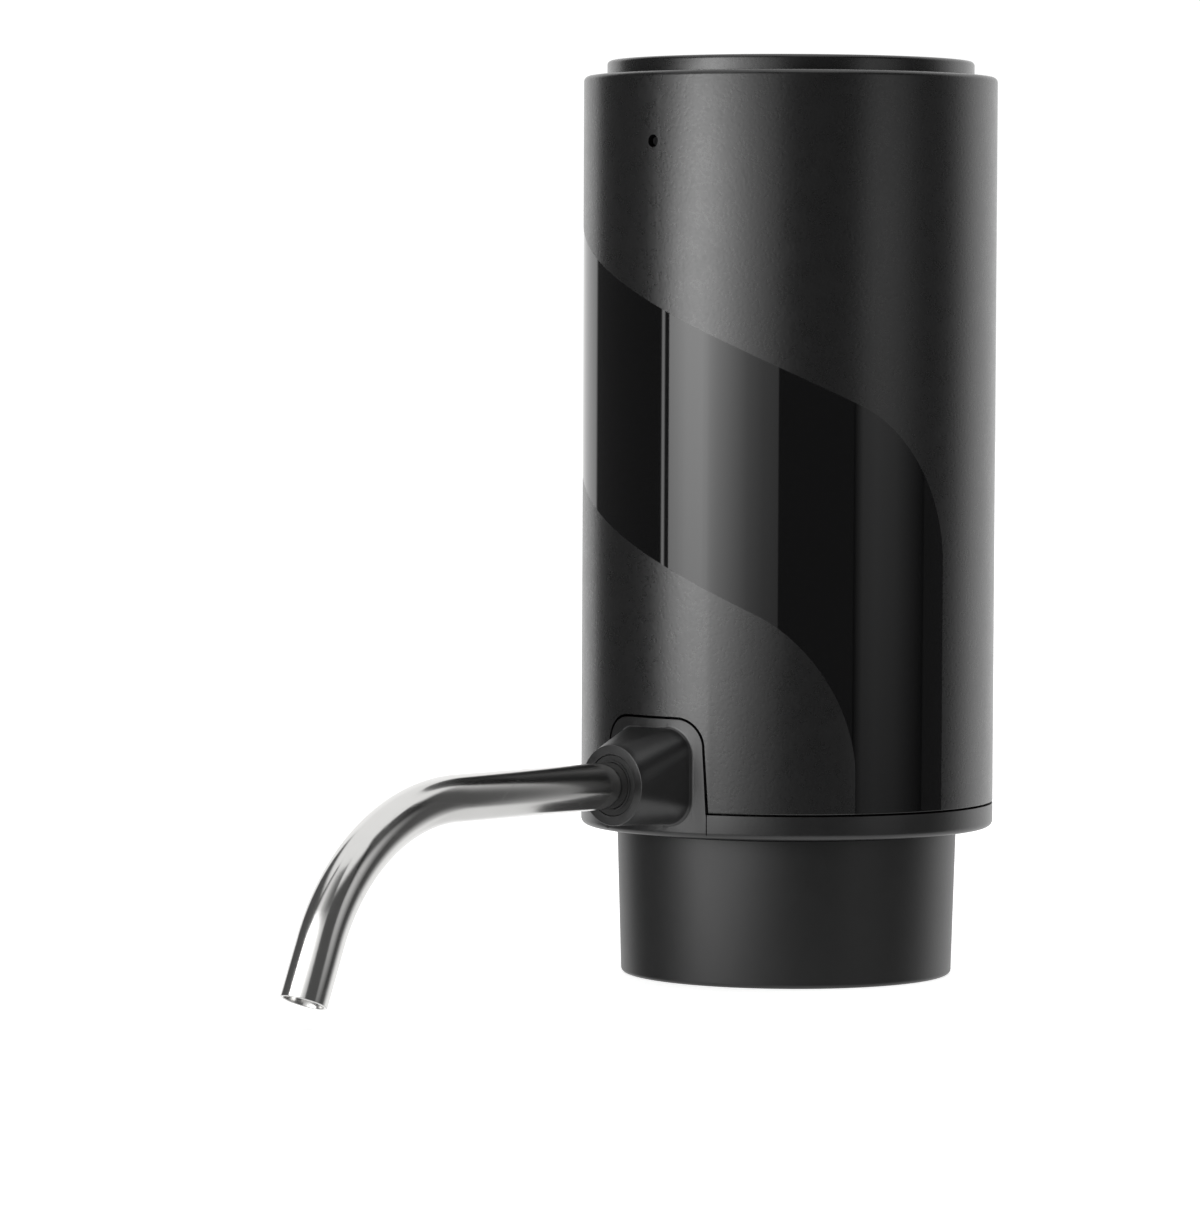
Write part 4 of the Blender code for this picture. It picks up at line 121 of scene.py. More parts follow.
# Base, plate and boss
DECK_TOP = 19.3 * MM
BASE_RIM = 20.05 * MM
SPIGOT_RADIUS = BORE - GAP
SPIGOT_WALL = 1.6 * MM
SPIGOT_TOP = 25.95 * MM
BASE_EDGE = 0.75 * MM
DECK_HOLE = 10.9 * MM
SNAP_WIDTH = 6.0 * MM
SNAP_DEPTH = 0.35 * MM
SNAP_HEIGHT = 1.6 * MM
SNAP_ANGLES = tuple(math.radians(a) for a in (30, 150))
SPOUT_Z = (SEAL_LOW.z + SEAL_HIGH.z) / 2
PLATE_TOP = BASE_HIGH.z - 0.3 * MM
PLATE_HALF_TOP = 6.95 * MM
PLATE_HALF_FOOT = 7.5 * MM
PLATE_CORNER = 3.2 * MM
PLATE_GAP = 0.3 * MM
PLATE_GROOVE = 0.12 * MM  # fine line that carries the plate's sides on through the base's band
BOSS_END = -BASE_LOW.y
BOSS_END_RADIUS = 4.6 * MM
BOSS_END_EDGE = 0.12 * MM
SEAL_SINK = 0.03 * MM  # the seal's play in the boss and around the tube
BOSS_ROOT_WIDTH = 5.6 * MM
BOSS_ROOT_HEIGHT = 5.4 * MM
BOSS_ROOT_CORNER = 3.0 * MM
BOSS_ROOT_LIFT = 0.8 * MM
BOSS_FILLET = 0.35 * MM
BOSS_ROWS = 10
BOSS_CORNER_STEPS = 12
SEAT_RADIUS = SEAL_HIGH.x + SEAL_SINK

# Collar and the screws' holes
COLLAR_RADIUS = COLLAR_HIGH.x
COLLAR_TAPER = 0.5 * MM
COLLAR_WALL = 2.2 * MM
COLLAR_ROOF = 1.8 * MM
COLLAR_EDGE = 0.5 * MM
SCREW_CIRCLE = 15.1 * MM
SCREW_ANGLES = tuple(math.radians(a) for a in (90, 210, 330))
SCREW_HOLE = 1.3 * MM

# Stopper and nipples
STOPPER_CORE = 8.3 * MM
STOPPER_FIN = 9.5 * MM
STOPPER_FINS = 3
STOPPER_CHAMFER = 0.6 * MM
STOPPER_PLUG = 7.8 * MM
STOPPER_ROOT = 9.6 * MM
STOPPER_ROOT_HEIGHT = 0.4 * MM
STOPPER_FLANGE_DEPTH = 1.6 * MM
STOPPER_NECK = 9.3 * MM
STOPPER_BEAD = 10.6 * MM
INLET_RADIUS = 2.2 * MM
INLET_BORE = 1.5 * MM
INLET_BARBS = 2
INLET_REACH = 3.2 * MM
AIR_BORE = 0.8 * MM
NIPPLE_EDGE = 0.1 * MM

# Button
BUTTON_EDGE = 0.45 * MM
BUTTON_TOP = 1.8 * MM
BUTTON_WALL = 1.4 * MM
BUTTON_SKIRT = 2.8 * MM
BUTTON_DISH = 0.12 * MM
BUTTON_LAND = 1.4 * MM  # flat ring around the dished top
STEM_RADIUS = 2.0 * MM
STEM_LENGTH = 4.45 * MM
HOOK_ANGLES = tuple(math.radians(a) for a in (10, 130, 250))
HOOK_HALF_WIDTH = 2.0 * MM
HOOK_THICKNESS = 1.1 * MM
HOOK_BARB = 0.7 * MM
HOOK_BARB_HEIGHT = 1.0 * MM

# Button spring
SPRING_WIRE = 0.3 * MM
SPRING_RADIUS = 5.0 * MM
SPRING_TURNS = 4
SPRING_CLOSED = 0.75  # turns that lie flat at each end
SPRING_STEPS = 40  # points a turn

# Spout
TUBE_RADIUS = TUBE_HIGH.x
TUBE_WALL = 0.4 * MM
TUBE_STRAIGHT = 31.9 * MM  # from the barrel's surface to the bend
TUBE_BEND_RADIUS = 22.7 * MM
TUBE_BEND = math.radians(68)
TUBE_BEND_STEPS = 48
TUBE_TAIL = 6.9 * MM
TUBE_RIM = 0.1 * MM
SEAL_LIP = 0.2 * MM

# Hose and leads
HOSE_RADIUS = 2.2 * MM
HOSE_BORE = 1.5 * MM
HOSE_END = 2.2 * MM  # straight part over each barb
LEAD_RADIUS = 0.6 * MM
LEAD_BEND = 1.3 * MM
MOTOR_LEAD = (
    (5.08, -6.9, 86.3), (5.08, -6.9, 87.0), (5.08, -5.7, 89.2), (3.88, -5.7, 91.3), (3.88, -6.9, 92.2),
    (3.88, -6.9, 93.4),
)
BATTERY_LEAD = ((8.87, 14.3, 86.8), (8.87, 14.3, 91.3), (8.87, 13.1, 92.2), (8.87, 13.1, 93.4))
LEADS = (
    ("motor_lead_1", 1, MOTOR_LEAD),
    ("motor_lead_2", -1, MOTOR_LEAD),
    ("battery_lead_1", 1, ((0, 14.3, 83.2), (1.2, 14.3, 83.2), *BATTERY_LEAD)),
    ("battery_lead_2", -1, ((4.9, 14.3, 82.2), (6.1, 14.3, 82.2), *BATTERY_LEAD)),
)

# Pump's diaphragm. The studs' heights are above the pivot, along the wobble plate's own axis.
SHEET = 0.7 * MM
SHEET_EYE = 1.8 * MM
SHEET_SCREW_HOLE = 1.1 * MM
CUP_ANGLES = tuple(math.radians(a) for a in (-90, 30, 150))
CUP_CIRCLE = 6.6 * MM
CUP_ROOT = 3.8 * MM
CUP_CROWN = 2.7 * MM
CUP_WALL = 0.6 * MM
CUP_TOP = 53.6 * MM
CUP_EYE = 1.25 * MM
STUD_RADIUS = 0.75 * MM
STUD_HEAD = 1.4 * MM
STUD_LOW = 0.5 * MM
STUD_NECK = 4.4 * MM
STUD_TOP = 5.3 * MM
PIVOT_Z = 51.9 * MM
PLATE_TILT = math.radians(5)

# Rotor winding
ROTOR_Y = (CORE_LOW.y + CORE_HIGH.y) / 2
POLE_HALF_WIDTH = 1.1 * MM
COIL_WIRE = 0.16 * MM
COIL_NEAR = 3.1 * MM
COIL_FAR = 5.5 * MM
COIL_LAYERS = 3
COIL_PITCH = 2.06  # from turn to turn and layer to layer, in radii of the wire
COIL_CORNER = 0.35 * MM

# Polished ribbon on the shell. Heights are at the front (-Y) and fall along the barrel towards +X.
RIBBON_TOP = 77.9 * MM
RIBBON_FOOT = 49.05 * MM
RIBBON_TOP_FALL = 0.4536  # height lost for each length along the barrel
RIBBON_FOOT_FALL = 0.468
RIBBON_TURN = 11.5 * MM
RIBBON_RIGHT = math.radians(87.6)
RIBBON_RIGHT_INNER = math.radians(59.2)
RIBBON_LEFT = math.radians(-120)
RIBBON_LEFT_INNER = math.radians(-150)
RIBBON_BLUR = 0.05 * MM

# Camera, fitted to the photograph
FRAME_WIDTH = 1200
FOCAL_PIXELS = 5908.75
SENSOR = 36.0
CAMERA_TURN = math.radians(40.4)  # from -Y towards +X
CAMERA_DISTANCE = 688.70 * MM
CAMERA_HEIGHT = 76.18 * MM
CAMERA_PITCH = 0.0486
CAMERA_PAN = -0.0318
CAMERA_ROLL = 0.0043

# Studio. Angles are degrees from the camera, positive to its right or upwards. A pair of them is where
# a light starts to fade in and where it is full, or where a panel or strip starts and ends.
FLOOR_RADIUS = 3.0
FLOOR_SIDES = 128
PANEL_DISTANCE = 0.30
PANEL_FOOT = -0.08  # the floor hides it only from the camera
PANEL_HEIGHT = 0.45
PANEL_STEPS = 24
PANEL_FOOT_LIGHT = 0.28  # a panel's light at its foot, as a share of its full light
PANEL_FULL_LIGHT = 0.10  # height where a panel reaches its full light
PANEL_DIMMING = 0.15  # height where it dims again
PANEL_HEAD = 0.21
PANEL_HEAD_LIGHT = 0.16
PANEL_CORNER_RISE = (0.12, 0.15)  # heights over which a panel's upper corner at its start goes dark
PANEL_CORNER_SHARE = (0.22, 0.04)  # and the shares of its width
MAIN_PANEL = (-67.4, -5.3)
MAIN_PANEL_LIGHT = 6.0
MAIN_PANEL_STOPS = (
    (0.0, 4.0), (0.037, 4.3), (0.187, 5.7), (0.33, 5.9), (0.47, 4.0), (0.605, 2.7), (0.737, 1.55),
    (0.87, 1.01), (1.0, 0.8),
)
SIDE_PANEL = (35.0, 78.0)
SIDE_PANEL_LIGHT = 0.75
SIDE_PANEL_STOPS = ((0.0, 0.0), (0.12, 0.85), (0.3, 1.0), (0.55, 0.8), (0.8, 0.35), (1.0, 0.05))
EDGE_STRIP = (-75.0, -73.0)
EDGE_STRIP_BLUR = 0.4
EDGE_STRIP_LIGHT = 3.0
ROOM_LIGHT = 0.1
BACKDROP_RIGHT = (99.0, 125.0)
BACKDROP_LEFT = (-134.0, -137.0)
BACKDROP_LIGHT = 1.1
CEILING = (42.0, 50.0)
CEILING_LIGHT = 1.1
GROUND = (-26.0, -34.0)
GROUND_LIGHT = 0.95
FLOOR_LIGHT = 0.75
CAMERA_WHITE = 1.05


# Nodes


def arithmetic(operation, swapped=False):
    """A method that puts a math node behind one of Python's operators."""
    def method(self, value):
        values = (value, self) if swapped else (self, value)
        return self.maker.math(operation, *values)
    return method


class Term:
    """A node's output that Python's arithmetic works on."""

    def __init__(self, maker, socket):
        self.maker, self.socket = maker, socket

    def other(self, output):
        return Term(self.maker, self.socket.node.outputs[output])

    def __neg__(self):
        return self * -1

    __add__ = arithmetic("ADD")
    __radd__ = arithmetic("ADD", swapped=True)
    __sub__ = arithmetic("SUBTRACT")
    __rsub__ = arithmetic("SUBTRACT", swapped=True)
    __mul__ = arithmetic("MULTIPLY")
    __rmul__ = arithmetic("MULTIPLY", swapped=True)
    __truediv__ = arithmetic("DIVIDE")


class Maker:
    """Adds nodes to a tree."""

    def __init__(self, tree):
        self.tree = tree

    def plug(self, node, inputs):
        """Sets or links a node's inputs. A list links several outputs to one input."""
        for key, values in inputs.items():
            for value in values if isinstance(values, list) else [values]:
                if isinstance(value, Term):
                    self.tree.links.new(value.socket, node.inputs[key])
                else:
                    node.inputs[key].default_value = value

    def node(self, kind, settings=None, inputs=None, output=0):
        """Adds a node: its settings come first, then its inputs. Returns one of its outputs."""
        node = self.tree.nodes.new(kind)
        for name, value in (settings or {}).items():
            if name == "stops":
                self.set_stops(node.color_ramp.elements, value)
            else:
                setattr(node, name, value)
        self.plug(node, inputs or {})
        return Term(self, node.outputs[output]) if len(node.outputs) else None

    def set_stops(self, stops, values):
        """Gives a ramp its stops, each a position and a grey."""
        while len(stops) < len(values):
            stops.new(1)
        for stop, (position, grey) in zip(stops, values):
            stop.position = position
            stop.color = (grey, grey, grey, 1)

    def ramp(self, value, stops):
        return self.node("ShaderNodeValToRGB", {"stops": stops}, {0: value})

    def math(self, operation, *values):
        return self.node("ShaderNodeMath", {"operation": operation}, dict(enumerate(values)))

    def length(self, one, other):
        return self.math("SQRT", one * one + other * other)

    def fade(self, value, start, end):
        """0 at the start and 1 at the end, held there beyond."""
        limits = {"Value": value, "From Min": start, "From Max": end}
        return self.node("ShaderNodeMapRange", {"clamp": True}, limits)

    def between(self, value, start, end, blur):
        return self.fade(value, start - blur, start + blur) * self.fade(value, end + blur, end - blur)

    def axes(self, vector):
        x = self.node("ShaderNodeSeparateXYZ", inputs={0: vector})
        return x, x.other(1), x.other(2)

    def tint(self, share, start, end):
        """Mixes two colours, or a colour with another mix."""
        inputs = {0: share, 6: opaque(start), 7: opaque(end)}
        return self.node("ShaderNodeMix", {"data_type": "RGBA"}, inputs, 2)


def opaque(colour):
    return colour if isinstance(colour, Term) else (*colour, 1)


class Finish(Maker):
    """A material around one shader."""

    def __init__(self, name, constants):
        self.material = bpy.data.materials.new(name)
        self.material.use_nodes = True
        super().__init__(self.material.node_tree)
        self.shader = self.tree.nodes["Principled BSDF"]
        self.plug(self.shader, constants)
        self.place = self.node("ShaderNodeTexCoord", output="Object")

    def shade(self, inputs):
        self.plug(self.shader, inputs)
        return self.material

    def bump(self, height, distance):
        return self.node("ShaderNodeBump", inputs={"Height": height, "Distance": distance})

    def stretch(self, scale):
        inputs = {"Vector": self.place, "Scale": scale}
        return self.node("ShaderNodeMapping", {"vector_type": "POINT"}, inputs)

    def noise(self, scale, detail, roughness):
        """Noise over the piece. A scale for each axis draws it out into streaks."""
        vector = self.place
        if isinstance(scale, tuple):
            vector, scale = self.stretch(scale), 1
        inputs = {"Vector": vector, "Scale": scale, "Detail": detail, "Roughness": roughness}
        return self.node("ShaderNodeTexNoise", inputs=inputs)

    def cells(self, vector, scale, feature="F1", output=0):
        inputs = {"Vector": vector, "Scale": scale}
        return self.node("ShaderNodeTexVoronoi", {"feature": feature}, inputs, output)


# Finishes


def ribbon_mask(finish):
    """1 on the polished ribbon that wraps the barrel, 0 on the matte ground."""
    x, y, z = finish.axes(finish.place)
    along = finish.math("ARCTAN2", x, -y) * BARREL_RADIUS
    radius = finish.length(x, y)

    def inside(*depths):
        """Distance inside two edges at once, round where they meet."""
        short = (finish.math("MAXIMUM", RIBBON_TURN - depth, 0) for depth in depths)
        return RIBBON_TURN - finish.length(*short)

    def below(height, fall, left, right):
        line = (height - fall * along - z) * math.cos(math.atan(fall))
        rising = -inside(-line, along - left * BARREL_RADIUS)
        return inside(rising, right * BARREL_RADIUS - along)

    outer = below(RIBBON_TOP, RIBBON_TOP_FALL, RIBBON_LEFT, RIBBON_RIGHT)
    inner = below(RIBBON_FOOT, RIBBON_FOOT_FALL, RIBBON_LEFT_INNER, RIBBON_RIGHT_INNER)
    mask = finish.fade(outer, -RIBBON_BLUR, RIBBON_BLUR) * finish.fade(inner, RIBBON_BLUR, -RIBBON_BLUR)
    return mask * finish.fade(radius, BARREL_RADIUS - 3 * EDGE, BARREL_RADIUS - 2 * EDGE)


def hole_shade_mask(finish):
    """1 on the wall of the light's hole, which gets painted shade."""
    x, y, z = finish.axes(finish.place)
    radius = finish.length(x, z - GUIDE_Z)
    wall = finish.fade(radius, LIGHT_HOLE + 2 * HOLE_SKIN, LIGHT_HOLE + HOLE_SKIN)
    return wall * finish.fade(y, 0, -EDGE)


def satin_black(name, shade, roughness, level, grain):
    """Moulded black plastic with a fine grain."""
    finish = Finish(name, {"IOR": 1.5, "Specular IOR Level": level})
    mottle = finish.noise(420, 3, 0.6)
    specks = finish.noise(2600, 1, 0.5)
    dark, light = 0.8 * shade, 1.25 * shade
    finish.shade({
        "Base Color": finish.tint(mottle, (dark, dark, dark * 1.03), (light, light, light * 1.03)),
        "Roughness": roughness + grain * (0.08 * (mottle - 0.5) + 0.1 * (specks - 0.5)),
        "Normal": finish.bump(specks + 0.4 * mottle, grain * 0.012 * MM),
    })
    return finish


def shell_finish():
    """Matte black with a polished ribbon, and painted shade on the wall of the light's hole."""
    finish = satin_black("shell_black", 0.006, 0.29, 0.75, 1.0)
    smear = finish.noise(60, 3, 0.6)
    gloss = finish.node("ShaderNodeBsdfPrincipled", inputs={
        "IOR": 1.5, "Specular IOR Level": 0.5, "Roughness": 0.035 + 0.015 * smear,
        "Base Color": finish.tint(smear, (0.0022, 0.0022, 0.0024), (0.0034, 0.0034, 0.0036)),
    })
    matte = Term(finish, finish.shader.outputs[0])
    both = finish.node("ShaderNodeMixShader", inputs={0: ribbon_mask(finish), 1: matte, 2: gloss})
    # Painted shade: a near-black, barely reflective shader darkens the wall of the light's hole.
    hollow = finish.node("ShaderNodeBsdfPrincipled", inputs={
        "IOR": 1.5, "Specular IOR Level": 0.1, "Roughness": 0.9, "Base Color": (0.002, 0.002, 0.002, 1),
    })
    both = finish.node("ShaderNodeMixShader", inputs={0: hole_shade_mask(finish), 1: both, 2: hollow})
    finish.plug(finish.tree.nodes["Material Output"], {"Surface": both})
    return finish


def polished_steel():
    """Drawn and polished stainless tube: faint lines along it, a few hairline marks and handling haze."""
    finish = Finish("polished_steel", {"Metallic": 1.0})
    lines = finish.noise((2400, 60, 2400), 2, 0.6)
    haze = finish.noise(140, 3, 0.55)
    marks = finish.cells(finish.stretch((300, 60, 300)), 1, "DISTANCE_TO_EDGE")
    scratch = finish.fade(marks, 0.012, 0.004)
    return finish.shade({
        "Base Color": finish.tint(haze, (0.60, 0.595, 0.585), (0.68, 0.675, 0.665)),
        "Roughness": 0.13 + 0.05 * haze + 0.05 * scratch,
        "Normal": finish.bump(lines, 0.0006 * MM),
    })


def rubber(name, colour):
    """Moulded silicone: a fine bloom and soft flow marks."""
    finish = Finish(name, {"IOR": 1.42})
    bloom = finish.noise(500, 3, 0.6)
    flow = finish.noise((120, 120, 500), 2, 0.5)
    light = tuple(min(1, c * 1.25 + 0.004) for c in colour)
    return finish.shade({
        "Base Color": finish.tint(bloom * flow * 2, colour, light),
        "Roughness": 0.49 + 0.12 * bloom,
        "Normal": finish.bump(bloom + 0.5 * flow, 0.01 * MM),
    })


def moulded(name, colour):
    """Inner moulded plastic: fine spark texture, faint flow lines and slight shade changes."""
    finish = Finish(name, {"IOR": 1.49})
    spark = finish.cells(finish.place, 3200)
    flow = finish.noise((90, 90, 260), 3, 0.55)
    dim = tuple(c * 0.88 for c in colour)
    return finish.shade({
        "Base Color": finish.tint(flow, dim, colour),
        "Roughness": 0.36 + 0.1 * flow + 0.06 * spark,
        "Normal": finish.bump(spark, 0.008 * MM),
    })


def clear_pin():
    """Light guide: smoky clear acrylic, made near black and barely reflective as painted shade of the hole it
    sits in.
    """
    finish = Finish("light_guide", {"IOR": 1.49, "Specular IOR Level": 0.03, "Transmission Weight": 0.3})
    cloud = finish.noise(900, 2, 0.5)
    # Painted shade: the pin's colour is held near black and its reflection low, for the shade of the hole it
    # sits in.
    return finish.shade({
        "Base Color": finish.tint(cloud, (0.003, 0.003, 0.0035), (0.006, 0.006, 0.007)),
        "Roughness": 0.6 + 0.15 * cloud,
    })


def metal(name, colour, roughness, brush=(900, 900, 60)):
    """Worked metal with tool marks along one direction and light staining."""
    finish = Finish(name, {"Metallic": 1.0})
    marks = finish.noise(brush, 3, 0.65)
    stain = finish.noise(260, 4, 0.6)
    dim = tuple(c * 0.78 for c in colour)
    return finish.shade({
        "Base Color": finish.tint(stain, dim, colour),
        "Roughness": roughness + 0.14 * (marks - 0.5) + 0.08 * (stain - 0.5),
        "Normal": finish.bump(marks, 0.0015 * MM),
    })


def enamelled_copper():
    finish = Finish("enamelled_copper", {"Metallic": 1.0, "Coat Roughness": 0.15})
    tone = finish.noise(700, 3, 0.6)
    return finish.shade({
        "Base Color": finish.tint(tone, (0.42, 0.13, 0.05), (0.70, 0.27, 0.11)),
        "Roughness": 0.22 + 0.12 * tone,
        "Coat Weight": 0.6 + 0.3 * tone,
        "Normal": finish.bump(tone, 0.004 * MM),
    })


def pressed_ferrite():
    """Pressed magnet: dark grey and sandy, with pale chips."""
    finish = Finish("pressed_ferrite", {"IOR": 1.8})
    sand = finish.cells(finish.place, 2600)
    chips = finish.fade(finish.noise(600, 3, 0.7), 0.62, 0.72)
    return finish.shade({
        "Base Color": finish.tint(chips, (0.035, 0.035, 0.038), (0.11, 0.11, 0.115)),
        "Roughness": 0.55 + 0.25 * sand,
        "Normal": finish.bump(sand, 0.03 * MM),
    })


def laminate():
    """Circuit board: green solder mask over copper tracks, with tinned pads on a grid."""
    finish = Finish("laminate", {"IOR": 1.52, "Coat Roughness": 0.08})
    x, y, _ = finish.axes(finish.place)
    pitch = 1.27 * MM

    def wave(value, period):
        """0 on the grid's lines and 1 between them."""
        return finish.math("PINGPONG", value / period + 100.5, 0.5) * 2

    flat = finish.node("ShaderNodeCombineXYZ", inputs={0: x, 1: y})
    choice = finish.axes(finish.cells(flat, 160, "F1", "Color"))[0]
    lean = finish.fade(choice, 0.49, 0.51)
    across = x * (1 - lean) + y * lean
    edge = finish.fade(finish.cells(flat, 160, "DISTANCE_TO_EDGE"), 0.05, 0.09)
    track = finish.fade(wave(across, pitch), 0.52, 0.6) * edge
    pad_x, pad_y = wave(x, 2 * pitch) - 1, wave(y, 2 * pitch) - 1
    spot = finish.length(pad_x, pad_y)
    chosen = finish.fade(finish.axes(finish.cells(flat, 220, "F1", "Color"))[1], 0.62, 0.64)
    pad = finish.fade(spot, 0.34, 0.30) * chosen
    hole = finish.fade(spot, 0.15, 0.12) * chosen
    weave = finish.noise(900, 2, 0.5)
    mask = finish.tint(weave, (0.006, 0.05, 0.02), (0.01, 0.075, 0.03))
    colour = finish.tint(track, mask, (0.016, 0.13, 0.05))
    colour = finish.tint(pad, colour, (0.72, 0.70, 0.66))
    colour = finish.tint(hole, colour, (0.02, 0.02, 0.02))
    return finish.shade({
        "Base Color": colour,
        "Metallic": pad * (1 - hole),
        "Roughness": 0.3 + 0.08 * weave - 0.05 * pad,
        "Coat Weight": 0.4 * (1 - pad),
        "Normal": finish.bump(track * 0.6 + pad + 0.1 * weave, 0.035 * MM),
    })


def battery_wrap():
    """Shrunk blue sleeve over the cell, crinkled at both ends, with the steel cap left bare."""
    finish = Finish("battery_wrap", {"IOR": 1.5, "Coat Weight": 0.5, "Coat Roughness": 0.12})
    low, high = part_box("battery_cell")
    x, y, z = finish.axes(finish.place)
    radius = finish.length(x, y - (low.y + high.y) / 2)
    crinkle = finish.noise((500, 500, 90), 3, 0.6)
    upper = finish.fade(z, high.z - 3.6 * MM, high.z - 2.2 * MM)
    lower = finish.fade(z, low.z + 3 * MM, low.z)
    cap = finish.fade(z, high.z - 1.02 * MM, high.z - 1.0 * MM) * finish.fade(radius, 5.6 * MM, 5.5 * MM)
    tone = finish.noise(120, 2, 0.5)
    blue = finish.tint(tone, (0.012, 0.05, 0.16), (0.018, 0.075, 0.22))
    return finish.shade({
        "Base Color": finish.tint(cap, blue, (0.6, 0.59, 0.57)),
        "Metallic": cap,
        "Roughness": 0.3 + 0.1 * crinkle,
        "Normal": finish.bump(crinkle * (0.25 + upper + lower), 0.05 * MM),
    })


def wire_sleeve(name, colour):
    """Drawn insulation: fine lines along the wire and a little dust."""
    finish = Finish(name, {"IOR": 1.5})
    drag = finish.noise((1800, 1800, 200), 2, 0.6)
    dust = finish.noise(700, 3, 0.6)
    light = tuple(c * 1.3 + 0.004 for c in colour)
    return finish.shade({
        "Base Color": finish.tint(dust, colour, light),
        "Roughness": 0.36 + 0.12 * dust,
        "Normal": finish.bump(drag, 0.01 * MM),
    })


def lamp_lens():
    """Status light: a hazy pale lens with a little light of its own."""
    finish = Finish("lamp_lens", {"IOR": 1.5, "Emission Strength": 0.25})
    haze = finish.noise(1500, 2, 0.5)
    return finish.shade({
        "Base Color": finish.tint(haze, (0.62, 0.60, 0.50), (0.80, 0.78, 0.68)),
        "Roughness": 0.2 + 0.1 * haze,
        "Emission Color": finish.tint(haze, (0.35, 0.42, 0.6), (0.5, 0.6, 0.85)),
    })


# Meshes


def blank(name, bm):
    """A bare object from a mesh being built, which is used up."""
    bmesh.ops.remove_doubles(bm, verts=bm.verts, dist=MERGE)
    bmesh.ops.recalc_face_normals(bm, faces=bm.faces)
    mesh = bpy.data.meshes.new(name)
    bm.to_mesh(mesh)
    bm.free()
    piece = bpy.data.objects.new(name, mesh)
    bpy.context.scene.collection.objects.link(piece)
    return piece


def fit(piece, finish, slot, *nodes, body=None):
    """Gives a finished mesh its finish, and its place in the frame as a stand-in for nodes.

    It rides the first node's body if no other is named.
    """
    turn_out(piece)
    piece.data.materials.clear()
    piece.data.materials.append(finish)
    piece.data.shade_smooth()
    piece.data.set_sharp_from_angle(angle=SMOOTH_ANGLE)
    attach(piece, body or frame["nodes"][nodes[0]]["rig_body"])
    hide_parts(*nodes)


def rounded(corners):
    """An outline from corners (radius, height, rounding), each rounded by an arc."""
    points = []
    for i, (x, z, rounding) in enumerate(corners):
        here = Vector((x, z))
        if rounding <= 0:
            points.append(here)
            continue
        before = (Vector(corners[i - 1][:2]) - here).normalized()
        after = (Vector(corners[(i + 1) % len(corners)][:2]) - here).normalized()
        half = before.angle(after) / 2
        reach = rounding / math.tan(half)
        centre = here + (before + after).normalized() * (rounding / math.sin(half))
        start, end = here + before * reach - centre, here + after * reach - centre
        sweep = math.atan2(start.x * end.y - start.y * end.x, start.dot(end))
        for k in range(CORNER_STEPS + 1):
            points.append(centre + Matrix.Rotation(sweep * k / CORNER_STEPS, 2) @ start)
    return points


def placed(bm, turn):
    """A mesh being built, with its faces outwards, moved by a matrix if there is one."""
    bmesh.ops.recalc_face_normals(bm, faces=bm.faces)
    if turn is not None:
        bm.transform(turn)
    return bm


def turned_mesh(outline, sides, turn=None):
    """A closed solid of revolution about Z."""
    bm = bmesh.new()
    rows = []
    for radius, height in outline:
        if radius < MERGE:
            rows.append([bm.verts.new((0, 0, height))] * sides)
            continue
        angles = (math.tau * k / sides for k in range(sides))
        rows.append([bm.verts.new((radius * math.cos(a), radius * math.sin(a), height)) for a in angles])
    for row, after in zip(rows, rows[1:] + rows[:1]):
        for k in range(sides):
            n = (k + 1) % sides
            corners = list(dict.fromkeys((row[k], row[n], after[n], after[k])))
            if len(corners) > 2:
                bm.faces.new(corners)
    return placed(bm, turn)


def turned(name, corners, sides=BARREL_SIDES, turn=None):
    """A piece of revolution from corners (radius, height, rounding)."""
    return blank(name, turned_mesh(rounded(corners), sides, turn))


def bore_mesh(radius, low, high, turn, sides=SMALL_SIDES):
    """A rod that cuts a round hole, past both faces of the wall."""
    low, high = low - OVERRUN, high + OVERRUN
    return turned_mesh([(0, low), (radius, low), (radius, high), (0, high)], sides, turn)


def loft_mesh(loops, turn=None):
    """A closed solid through loops of equal count, capped flat at both ends."""
    bm = bmesh.new()
    rows = [[bm.verts.new(point) for point in loop] for loop in loops]
    for row, after in zip(rows, rows[1:]):
        for k in range(len(row)):
            n = (k + 1) % len(row)
            bm.faces.new((row[k], row[n], after[n], after[k]))
    bm.faces.new(rows[0])
    bm.faces.new(rows[-1])
    return placed(bm, turn)


def prism_mesh(outline, low, high, turn=None):
    return loft_mesh([[(x, y, z) for x, y in outline] for z in (low, high)], turn)


def box_mesh(low, high, turn=None):
    (x0, y0, z0), (x1, y1, z1) = low, high
    return prism_mesh([(x0, y0), (x1, y0), (x1, y1), (x0, y1)], z0, z1, turn)


def carve(piece, operation, *shapes):
    """Joins shapes to a piece or cuts them out of it. The shapes are used up."""
    for shape in shapes:
        tool = blank("tool", shape)
        step = piece.modifiers.new("carve", "BOOLEAN")
        step.operation = operation
        step.solver = "EXACT"
        step.object = tool
        settle(piece)
        bpy.data.meshes.remove(tool.data)


def settle(piece):
    """Applies a piece's modifiers to its mesh."""
    bpy.context.view_layer.update()
    result = bpy.data.meshes.new_from_object(piece.evaluated_get(bpy.context.evaluated_depsgraph_get()))
    piece.modifiers.clear()
    old, piece.data = piece.data, result
    bpy.data.meshes.remove(old)
    result.name = piece.name


def turn_out(piece):
    """Merges doubles, closes the small holes that a cut can leave and points the faces outwards."""
    bm = bmesh.new()
    bm.from_mesh(piece.data)
    bmesh.ops.remove_doubles(bm, verts=bm.verts, dist=MERGE)
    bmesh.ops.holes_fill(bm, edges=[edge for edge in bm.edges if edge.is_boundary], sides=SMALL_HOLE)
    bmesh.ops.recalc_face_normals(bm, faces=bm.faces)
    bm.to_mesh(piece.data)
    bm.free()


